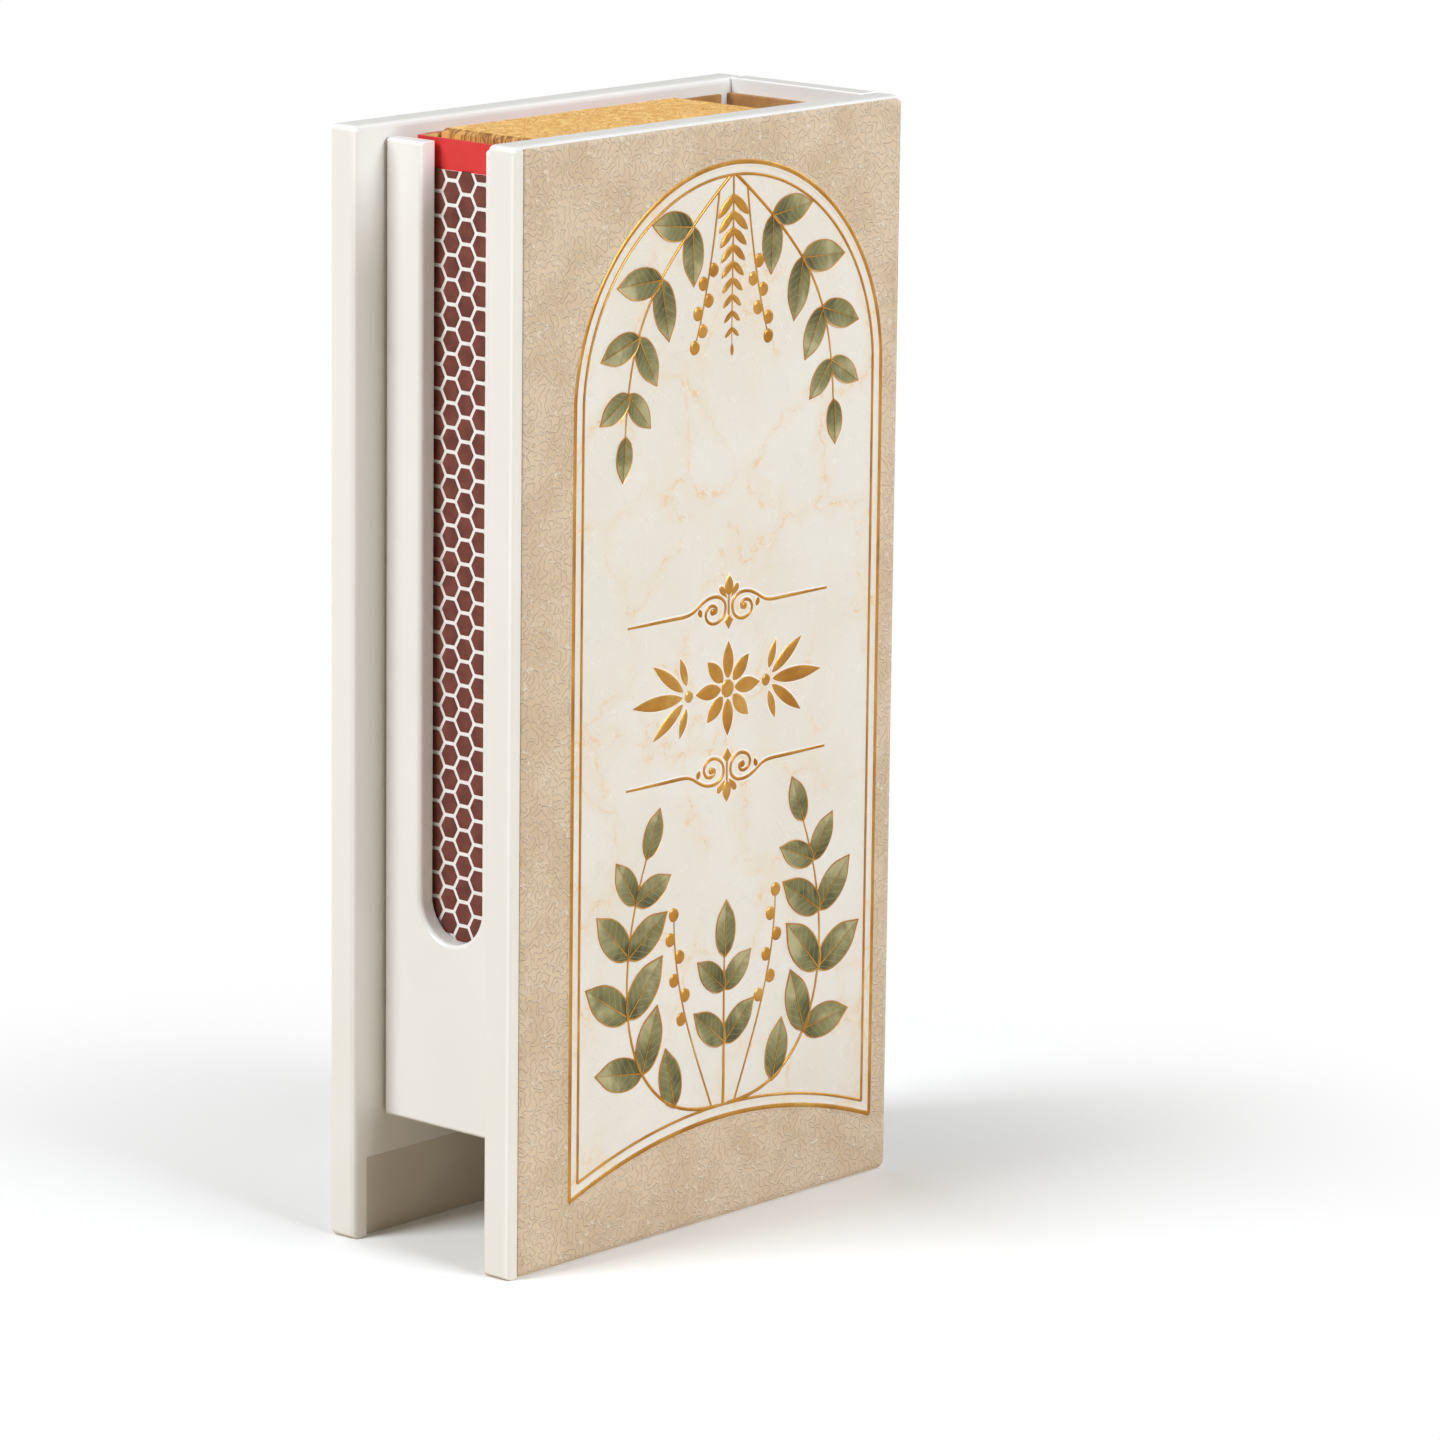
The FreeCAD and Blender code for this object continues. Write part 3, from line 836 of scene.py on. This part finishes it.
def berries(points):
    """A stalk with berries to either side by turns and one at its tip."""
    stalk = draw_line(points, STALK_TAPER)
    for number, (across, up, heading) in enumerate(stations(stalk, BERRY_SHARES)):
        turn = 0.0 if number == len(BERRY_SHARES) - 1 else BERRY_SPREAD * (-1) ** number
        sprigs.append(lay(berry, across, up, heading + turn, BERRY_SIZE, BERRY_SIZE))
    sprigs.append(bead(stalk, FERN_WIDTH, FERN_RISE))


leaflet = drop_blank("leaflet_blank", root=0.1, tip=0.1)
# a berry is a low dome a unit across, with a dimple at its eye
berry = begin("berry_blank", bpy.ops.mesh.primitive_uv_sphere_add, segments=20, ring_count=12, radius=0.5,
              location=(0.5, 0, 0), scale=(1, 1, 2 * BERRY_RISE))
nudge(berry, (0.5, 0, BERRY_RISE), (0, 0, -BERRY_EYE), BERRY_EYE_REACH)
berry.data.materials.append(gold)
sprigs = []
# the frond's paired leaflets dwindle towards its tip
frond = draw_line(mirrored(FERN_STEM, 1), FERN_TAPER)
shares = [FERN_BARE + (1 - FERN_BARE) * step / FERN_LEAFLETS for step in range(FERN_LEAFLETS + 1)]
for number, (across, up, heading) in enumerate(stations(frond, shares)):
    length = FERN_LONGEST + (FERN_SHORTEST - FERN_LONGEST) * number / FERN_LEAFLETS
    for turn in (FERN_SPREAD, -FERN_SPREAD) if number < FERN_LEAFLETS else (0.0,):
        sprigs.append(lay(leaflet, across, up, heading + turn, length, length * FERN_BREADTH))
sprigs.append(bead(frond, FERN_WIDTH, FERN_RISE))
for side in (1, -1):
    for points in BERRY_STALKS:
        berries(mirrored(points, side))
join_trim("gold_sprigs", stems + sprigs, gold)


# Scroll dividers: the traditional flourish of two scrolls about a small palmette, with a long tapering line
# to each side, pressed in raised gold above and below the middle ornament. The lower one is turned over.
DIVIDER_X = 2.9
DIVIDER_HEIGHTS = ((67.6, 1), (50.1, -1))
SCROLL_WIDTH = 0.42
SCROLL_STROKE = ((15.9, 0.0), (12.0, 0.0), (9.0, 0.0), (7.0, -0.03), (5.7, 0.2), (4.5, 0.95), (3.2, 1.5),
                 (1.65, 1.5), (0.62, 0.8), (0.5, -0.1), (0.95, -1.0), (2.15, -1.5), (3.35, -1.15),
                 (3.8, -0.35), (3.45, 0.4), (2.65, 0.66), (2.0, 0.35), (1.95, -0.15), (2.3, -0.3),
                 (2.5, -0.1))
SCROLL_RADII = (0.7, 0.85, 1.0, 1.0, 0.9, 0.9, *(1.0,) * 14)
SCROLL_EYE = 0.8
# bud and side leaf of the palmette: across, up, lean, length and breadth; the leaf's point is at the stem
BUD = (4.75, 0.45, 0.35, 0.8, 0.66)
SIDE_LEAF = (1.5, 2.5, 0.72, 1.3, 0.8)
# its middle leaf, its foot and its stem: up, and for the first two also length and breadth
MIDDLE_LEAF = (1.45, 1.85, 1.35)
FOOT_KITE = (-0.62, 1.42, 1.45)
PALMETTE_STEM = (1.5, 0.6, -0.7)
PALMETTE_TAPER = (1, 0.8, 1)
HALO = 0.34
HALO_RISE = 0.06
# the pressed edge is tinted paler than the cover: a painted highlight round the gold
PRESSED_HIGHLIGHT = ((247, 244, 238), (240, 235, 226))


def edged(blank, across, up, heading, length, breadth):
    """A gold pad on the cover's pressed edge, which shows as a thin margin round it, tinted paler as a
    painted highlight.
    """
    back = HALO / 2
    halos.append(lay(blank, across - back * cos(heading), up - back * sin(heading), heading,
                     length + HALO, breadth + HALO, HALO_RISE / PAD_RISE))
    return lay(blank, across, up, heading, length, breadth)


def pale_finish(name, shades, scale, detail, gloss, tooth, strength):
    """A plain pale surface, hardly clouded and with a fine tooth."""
    material, place = start_finish(name)
    clouds = spread(grain(place, scale, detail))
    return dress(material, tint(clouds, *shades), span(clouds, 0.0, 1.0, *gloss), grain(place, tooth, 2.0),
                 depth=0.01, strength=strength)


def scroll(points, width, rise=LINE_RISE):
    return bead(draw_line(points, SCROLL_RADII, order=3, smooth=8), width, rise)


def divider(height, flip):
    """One divider at a height, upright or turned over."""
    upright = pi / 2 * flip
    for side in (1, -1):
        placed = [(DIVIDER_X + side * across, height + flip * up) for across, up in SCROLL_STROKE]
        flourish.append(scroll(placed, SCROLL_WIDTH))
        halos.append(scroll(placed, SCROLL_WIDTH + HALO, HALO_RISE))
        eye_x, eye_z = placed[-1]
        flourish.append(lay(berry, eye_x - SCROLL_EYE / 2, eye_z, 0, SCROLL_EYE, SCROLL_EYE))
        for blank, (across, up, lean, length, breadth) in ((drop, BUD), (comma, SIDE_LEAF)):
            heading = -upright - side * flip * lean
            flourish.append(edged(blank, DIVIDER_X + side * across, height + flip * up, heading,
                                  length, breadth))
    for blank, heading, (up, length, breadth) in ((drop, upright, MIDDLE_LEAF), (kite, -upright, FOOT_KITE)):
        flourish.append(edged(blank, DIVIDER_X, height + flip * up, heading, length, breadth))
    stem = [(DIVIDER_X, height + flip * up) for up in PALMETTE_STEM]
    flourish.append(bead(draw_line(stem, PALMETTE_TAPER), FERN_WIDTH))


drop = drop_blank("drop_blank", root=0.08, tip=0.2)
comma = drop_blank("comma_blank", root=0.0, tip=0.45)
kite = drop_blank("kite_blank", root=0.0, tip=0.2, sides=4)
flourish = []
halos = []
for height, flip in DIVIDER_HEIGHTS:
    divider(height, flip)
join_trim("gold_dividers", flourish, gold)


# Middle ornament: a plain eight-petalled rosette between two palm leaves, in the same raised gold with the
# same pressed edge in the cover.
ROSETTE_Z = 58.85
PETALS = 8
PETAL_LENGTHS = (3.2, 2.8)
PETAL_BREADTH = 1.7
ROSETTE_HUB = 1.0
PALM_X = 6.2
PALM_ROOT = 1.5
PALM_BERRY = 1.3
# the blades of a palm leaf: heading, length and breadth
PALM_LEAVES = ((0.0, 6.2, 1.6), (0.62, 4.6, 1.35), (-0.62, 4.6, 1.35), (1.25, 2.6, 1.1), (-1.25, 2.6, 1.1))


def ray(middle_x, out, heading, length, breadth):
    """One blade that points away from a middle, its root some way out."""
    ornament.append(edged(drop, middle_x + out * cos(heading), ROSETTE_Z + out * sin(heading),
                          heading, length, breadth))


ornament = []
for petal in range(PETALS):
    ray(DIVIDER_X, ROSETTE_HUB + HALO, 2 * pi * petal / PETALS, PETAL_LENGTHS[petal % 2], PETAL_BREADTH)
ornament.append(lay(berry, DIVIDER_X - ROSETTE_HUB, ROSETTE_Z, 0, 2 * ROSETTE_HUB, 2 * ROSETTE_HUB))
for side, facing_out in ((1, 0), (-1, pi)):
    palm_x = DIVIDER_X + side * PALM_X
    for heading, length, breadth in PALM_LEAVES:
        ray(palm_x, PALM_ROOT, facing_out + heading, length, breadth)
    ornament.append(lay(berry, palm_x - PALM_BERRY / 2, ROSETTE_Z, 0, PALM_BERRY, PALM_BERRY))
join_trim("gold_rosette", ornament, gold)
# the pressed edges round the gold take a paler cream: a painted highlight
pressed_highlight = pale_finish("pressed_cream_highlight", PRESSED_HIGHLIGHT, 0.4, 2.0, gloss=(0.38, 0.5), tooth=3.0, strength=0.5)
join_trim("pressed_ornament_edge_highlight", halos, pressed_highlight)
for spare in (drop, comma, kite, leaflet, berry):
    bpy.data.objects.remove(spare)


# Matchbox sleeve: a tube of card, folded round and glued, that stands on end in the holder with the matches
# in it. The outside is printed plain red, and the inside shows the card.
SLEEVE_CARD = 0.5 * MM
SLEEVE_ROUND = 0.4 * MM
SLEEVE_STEPS = 4
SLEEVE_ARRIS = 0.08 * MM
BARE_CARD = ((218, 188, 124), (200, 166, 98), (172, 134, 70))
RED = (219, 50, 50)
RED_DEEP = (212, 42, 43)


def red_card_finish():
    """Smooth card printed red: hardly clouded, with the card's faint tooth."""
    material, place = start_finish("red_card")
    clouds = spread(grain(place, 0.3, 3.0))
    gloss = spread(grain(place, 1.2), 0.38, 0.5)
    tooth = grain(place, 2.2, 2.0)
    return dress(material, tint(clouds, RED, RED_DEEP), gloss, tooth, depth=0.015, strength=0.4)


sleeve_low, sleeve_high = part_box("matchbox_sleeve")
sleeve = begin_block("printed_sleeve", sleeve_low, sleeve_high)
round_edges(sleeve, lambda first, second: not near(first.z, second.z), SLEEVE_ROUND, SLEEVE_STEPS)
select_faces(sleeve, lambda middle, normal: abs(normal.z) > SQUARE_ON)
bpy.ops.mesh.delete(type="FACE")
enter("OBJECT")
modify(sleeve, "SOLIDIFY", thickness=SLEEVE_CARD, offset=-1)
break_arrises(sleeve, SLEEVE_ARRIS)
surface(sleeve, red_card_finish())
sleeve_middle = (sleeve_low + sleeve_high) / 2
touch_up(sleeve, card_finish("bare_card", *BARE_CARD),
         lambda middle, normal: normal.to_2d().dot((middle - sleeve_middle).to_2d()) < 0)
seat(sleeve, "matchbox", "red_card", "matchbox_sleeve")


# Strikers: a friction coat printed as a honeycomb of dark red-brown dots on strips of white card, one glued
# on each narrow side of the sleeve. The dots stand a little proud of the card.
STRIKER_CARD = 0.15 * MM
DOT_COLUMN = 2.1 * MM
DOT_ROW = 2.6 * MM
DOT_LINE = 0.38 * MM
DOT_EDGE = 0.05 * MM
DOT_Z = 114.5 * MM
SPARE_ROWS = 3
WHITE_CARD = ((247, 245, 242), (238, 235, 230))
STRIKER_BROWN = (118, 58, 47)
STRIKER_DEEP = (96, 42, 34)
STRIKER_GRIT = (146, 88, 74)


def striker_finish():
    """Matt red phosphorus paste: clouded, with a fine gritty tooth."""
    material, place = start_finish("striker_coat")
    clouds = span(grain(place, 0.5, 3.0), 0.32, 0.68)
    grit = grain(place, 7.0, 2.0)
    paste = tint(clouds, STRIKER_BROWN, STRIKER_DEEP)
    paste = tint(span(grit, 0.58, 0.75, 0.0, 0.5), paste, STRIKER_GRIT)
    return dress(material, paste, spread(grit, 0.62, 0.8), grit, depth=0.03, strength=0.7)


def shift(piece, move):
    piece.data.transform(Matrix.Translation(move))


def repeat(piece, count, step):
    modify(piece, "ARRAY", use_relative_offset=False, use_constant_offset=True, count=count,
           constant_offset_displace=step)


def trim(piece, point, outward):
    """Cut a piece off at a plane and close the cut."""
    select_faces(piece, lambda middle, normal: True)
    bpy.ops.mesh.bisect(plane_co=point, plane_no=outward, use_fill=True, clear_outer=True)
    enter("OBJECT")


def striker_dots(name, low, high, rise):
    """The honeycomb of dots over a strip, cut off square at its borders."""
    cell = DOT_COLUMN / 1.5
    dots = begin(name, bpy.ops.mesh.primitive_cylinder_add, vertices=6, depth=rise,
                 radius=cell - DOT_LINE / 2 / cos(pi / 6), rotation=(0, pi / 2, 0))
    # the hexagon's points turn to the sides, and it is drawn out to the height of a row
    enter("EDIT")
    bpy.ops.mesh.select_all(action="SELECT")
    bpy.ops.transform.resize(value=(1, 1, DOT_ROW / (sqrt(3) * cell)))
    enter("OBJECT")
    # the first dot goes below and beside the strip, so that one column stands on the holder's middle plane
    below = ceil((DOT_Z - low.z) / DOT_ROW) + 1
    beside = 2 * ceil(-low.y / (2 * DOT_COLUMN))
    shift(dots, (0, -beside * DOT_COLUMN, DOT_Z - below * DOT_ROW))
    neighbour = copy_of(dots)
    shift(neighbour, (0, DOT_COLUMN, DOT_ROW / 2))
    join(name, (dots, neighbour))
    repeat(dots, below + SPARE_ROWS, (0, 0, DOT_ROW))
    repeat(dots, ceil((high.y - low.y) / (2 * DOT_COLUMN)) + 1, (0, 2 * DOT_COLUMN, 0))
    for outward in (Vector((0, 1, 0)), Vector((0, 0, 1))):
        trim(dots, low, -outward)
        trim(dots, high, outward)
    return dots


white_card = pale_finish("white_card", WHITE_CARD, 1.2, 3.0, gloss=(0.5, 0.62), tooth=4.0, strength=0.4)
striker_coat = striker_finish()
for striker_node, side in (("striker_left", -1), ("striker_right", 1)):
    low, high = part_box(striker_node)
    middle_x = (low.x + high.x) / 2
    dot_rise = (high.x - low.x) - STRIKER_CARD
    proud = Vector((dot_rise, 0, 0))
    card = begin_block("card_" + striker_node, low + proud * (side < 0), high - proud * (side > 0))
    break_arrises(card, DOT_EDGE)
    surface(card, white_card)
    seat(card, "matchbox", "striker_coat", striker_node)
    dots = striker_dots("dots_" + striker_node, low, high, dot_rise)
    shift(dots, (middle_x + side * STRIKER_CARD / 2, 0, 0))
    break_arrises(dots, DOT_EDGE, steps=1)
    dots.data.materials.append(striker_coat)
    seat(dots, "matchbox", "striker_coat")


# Tray: the box's drawer, of golden strawboard folded round a double end. It slides in the sleeve, and its
# open side faces the front; the end stands just above the sleeve.
TRAY_CARD = 0.9 * MM
TRAY_END = 1.6 * MM
TRAY_ROUND = 0.6 * MM
STEP_WIDTH = 1.9 * MM
STEP_DEPTH = 1.2 * MM
STRAW_CURLS = 40.0
STRAW_STRETCH = (1, 1, 0.12)
# the board, and its cut edge painted darker as shade where it faces left: ground, light and deep shade
STRAW = ((240, 178, 90), (252, 210, 132), (196, 130, 54))
SHADED_EDGE_STRAW = ((180, 122, 54), (214, 160, 86), (96, 58, 20))


def strawboard_finish(name, ground, light, deep):
    """Coarse golden board: curling straw fibres, darker where the pulp is thin."""
    material, place = start_finish(name)
    flat = scaled(place, STRAW_STRETCH)
    hills = grain(flat, 0.42, 3.0, distortion=1.4, roughness=0.55)
    curls = sum_of("SINE", times(hills, STRAW_CURLS))
    strands = span(curls, -0.6, 0.9)
    clouds = grain(flat, 0.5, 3.0)
    board = tint(strands, ground, light)
    board = tint(span(curls, -1.0, -0.5, 0.6, 0.0), board, deep)
    board = tint(span(clouds, 0.55, 0.75, 0.0, 0.35), board, deep)
    return dress(material, board, spread(clouds, 0.55, 0.75), strands, depth=0.1, strength=0.8)


tray_low, tray_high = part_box("matchbox_tray")
tray = begin_block("strawboard_tray", tray_low, tray_high)
well_low = Vector((tray_low.x + TRAY_CARD, tray_low.y - TRAY_END, tray_low.z + TRAY_END))
well_high = Vector((tray_high.x - TRAY_CARD, tray_high.y - TRAY_CARD, tray_high.z - TRAY_END))
cut_away(tray, begin_block("well_cutter", well_low, well_high))
# the upper end is folded narrower than the tray, so that it stands in from the sleeve's left side
step_low = Vector((tray_low.x - STEP_WIDTH, tray_low.y - STEP_WIDTH, tray_high.z - STEP_DEPTH))
step_high = Vector((tray_low.x + STEP_WIDTH, tray_high.y + STEP_WIDTH, tray_high.z + STEP_DEPTH))
cut_away(tray, begin_block("step_cutter", step_low, step_high))
for end_z in (tray_low.z, tray_high.z):
    round_edges(tray, lies_on((2, end_z)), TRAY_ROUND)
break_arrises(tray, ARRIS)
surface(tray, strawboard_finish("strawboard", *STRAW))
# the left-facing faces of the upper end take the darker board: the cut edge, with painted shade on it
touch_up(tray, strawboard_finish("strawboard_edge_shade", *SHADED_EDGE_STRAW),
         lambda middle, normal: normal.x < -ON_ROUND and middle.z > tray_high.z - STEP_DEPTH)
seat(tray, "tray", "strawboard", "matchbox_tray")


# Matches: split sticks of pale aspen with dipped red heads, in two bundles end to end in the tray. One stick
# and one head are modelled and copied, each copy with a grain of its own from its place.
STICK_SIDE = 2.2 * MM
STICK_LENGTH = 43.7 * MM
MATCH_PITCH = 3.35 * MM
MATCH_COLUMNS = 10
MATCH_LAYERS = 3
BUNDLE_PITCH = 49.5 * MM
BUNDLES = 2
STICK_ARRIS = 0.14 * MM
HEAD_SIZE = Vector((3.1, 3.1, 4.4)) * MM
HEAD_NECK = 0.25
HEAD_NECK_REACH = 0.4
ASPEN = (226, 186, 128)
ASPEN_LIGHT = (238, 208, 158)
ASPEN_DEEP = (190, 140, 80)
HEAD_RED = (190, 28, 40)
HEAD_DEEP = (150, 14, 26)


def aspen_finish():
    """Split wood: long grain with darker streaks, and pores drawn out along the stick."""
    material, place = start_finish("match_wood")
    streaks = grain(place, 0.9, 3.0, stretch=(1, 1, 0.06), distortion=0.4)
    pores = grain(place, 4.0, 2.0, stretch=(1, 1, 0.08))
    wood = tint(spread(streaks), ASPEN_LIGHT, ASPEN)
    wood = tint(span(pores, 0.58, 0.75, 0.0, 0.6), wood, ASPEN_DEEP)
    return dress(material, wood, spread(pores, 0.55, 0.72), pores, depth=0.04, strength=0.7)


def head_finish():
    """Dipped match paste: matt red with fine pits."""
    material, place = start_finish("match_head")
    pits = grain(place, 2.5, 3.0)
    paste = tint(spread(pits), HEAD_RED, HEAD_DEEP)
    return dress(material, paste, spread(pits, 0.5, 0.65), pits, depth=0.06, strength=0.6)


def fill_tray(name, blank, node, slot_name):
    """Copy a blank to every place in the bundles and join the copies."""
    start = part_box(node)[0]
    copies = []
    for bundle, column, layer in product(range(BUNDLES), range(MATCH_COLUMNS), range(MATCH_LAYERS)):
        move = Vector((column * MATCH_PITCH, layer * MATCH_PITCH, bundle * BUNDLE_PITCH))
        copies.append(copy_of(blank))
        shift(copies[-1], start + move)
    bpy.data.objects.remove(blank)
    seat(join(name, copies), "tray", slot_name, node)


stick = begin_block("stick_blank", Vector((0, 0, 0)), Vector((STICK_SIDE, STICK_SIDE, STICK_LENGTH)))
break_arrises(stick, STICK_ARRIS)
surface(stick, aspen_finish())
fill_tray("aspen_match_sticks", stick, "match_sticks", "match_wood")
head = begin("head_blank", bpy.ops.mesh.primitive_uv_sphere_add, segments=18, ring_count=12, radius=0.5,
             location=HEAD_SIZE / 2, scale=HEAD_SIZE)
neck = (HEAD_SIZE.x / 2, HEAD_SIZE.y / 2, 0)
nudge(head, neck, (0, 0, HEAD_NECK * HEAD_SIZE.z), HEAD_NECK_REACH * HEAD_SIZE.z)
bpy.ops.object.shade_smooth()
head.data.materials.append(head_finish())
fill_tray("dipped_match_heads", head, "match_heads", "match_head")


# Floor, light and camera: a pale table, two broad soft lamps, two weak ones on the far sides and a dim even
# surround, and the camera where the picture was taken from.
AZIMUTH = radians(-48.524)
ELEVATION = radians(12.306)
ROLL = radians(0.68)
PICTURE = 1440
FOCAL = 7213.57
DISTANCE = 775.91 * MM
OFF_CENTRE = Vector((-10.987, 6.053, 0)) * MM
SENSOR = 36.0
FLOOR_SIZE = 6.0
FLOOR_PALE = (252, 251, 250)
FLOOR_BOUNCE = (214, 199, 178)
FLOOR_ROUGHNESS = 0.8
FADE_START = 30.0
FADE_END = 115.0
WHITE = (255, 255, 255)
SURROUND = (86, 73, 56)
SURROUND_MIRRORED = (176, 170, 160)
LAMP_WHITE = (0.90, 0.955, 1.0)
# each lamp's direction from the holder, its distance and size in metres, and its power
LAMPS = (
    ("left_lamp", (-1.0, 0.36, 0.80), 1.2, 0.50, 12.7),
    ("front_lamp", (0.08, -1.0, 0.58), 1.3, 0.70, 13.3),
    ("back_lamp", (0.1, 1.0, 0.4), 1.3, 0.70, 4.0),
    ("right_lamp", (1.0, -0.2, 0.35), 1.3, 0.70, 4.0),
)


def table_finish():
    """A pale matt table that keeps the holder's shadow and fades to white in the picture."""
    material, place = start_finish("pale_table")
    tree = material.node_tree
    shader = tree.nodes["Principled BSDF"]
    seen = add("LightPath", {}, tree).outputs["Is Camera Ray"]
    connect(tint(seen, FLOOR_BOUNCE, FLOOR_PALE), shader.inputs["Base Color"])
    shader.inputs["Roughness"].default_value = FLOOR_ROUGHNESS
    away = add("VectorMath", {0: place}, operation="LENGTH").outputs["Value"]
    shown = times(span(away, FADE_START, FADE_END), seen)
    white = add("Emission", {"Color": colour(WHITE)}, tree).outputs[0]
    mixed = add("MixShader", {0: shown, 1: shader.outputs[0], 2: white}).outputs[0]
    connect(mixed, tree.nodes["Material Output"].inputs["Surface"])
    return material


table = begin("table", bpy.ops.mesh.primitive_plane_add, size=FLOOR_SIZE, location=(0, 0, cad_low.z))
table.data.materials.append(table_finish())

middle = (cad_low + cad_high) / 2
for lamp_name, direction, distance, size, power in LAMPS:
    toward = Vector(direction).normalized()
    bpy.ops.object.light_add(type="AREA", location=middle + toward * distance)
    light = bpy.context.active_object
    light.name = lamp_name
    light.rotation_euler = toward.to_track_quat("Z", "Y").to_euler()
    light.data.size = size
    light.data.energy = power
    light.data.color = LAMP_WHITE

world = bpy.context.scene.world or bpy.data.worlds.new("surround")
bpy.context.scene.world = world
world.use_nodes = True
tree = world.node_tree
rays = add("LightPath", {}, tree).outputs
dim = tint(rays["Is Glossy Ray"], SURROUND, SURROUND_MIRRORED)
connect(tint(rays["Is Camera Ray"], dim, WHITE), tree.nodes["Background"].inputs["Color"])

back = Vector((sin(AZIMUTH) * cos(ELEVATION), -cos(AZIMUTH) * cos(ELEVATION), sin(ELEVATION)))
right = Vector((cos(AZIMUTH), sin(AZIMUTH), 0))
up = back.cross(right)
across = right * cos(ROLL) + up * sin(ROLL)
upward = up * cos(ROLL) - right * sin(ROLL)
bpy.ops.object.camera_add()
camera = bpy.context.active_object
aim = Matrix((across, upward, back)).transposed()
stand = middle + aim @ (Vector((0, 0, DISTANCE)) - OFF_CENTRE)
camera.matrix_world = Matrix.Translation(stand) @ aim.to_4x4()
camera.data.sensor_width = SENSOR
camera.data.lens = FOCAL / PICTURE * SENSOR
bpy.context.scene.camera = camera
bpy.context.scene.view_settings.view_transform = "Standard"
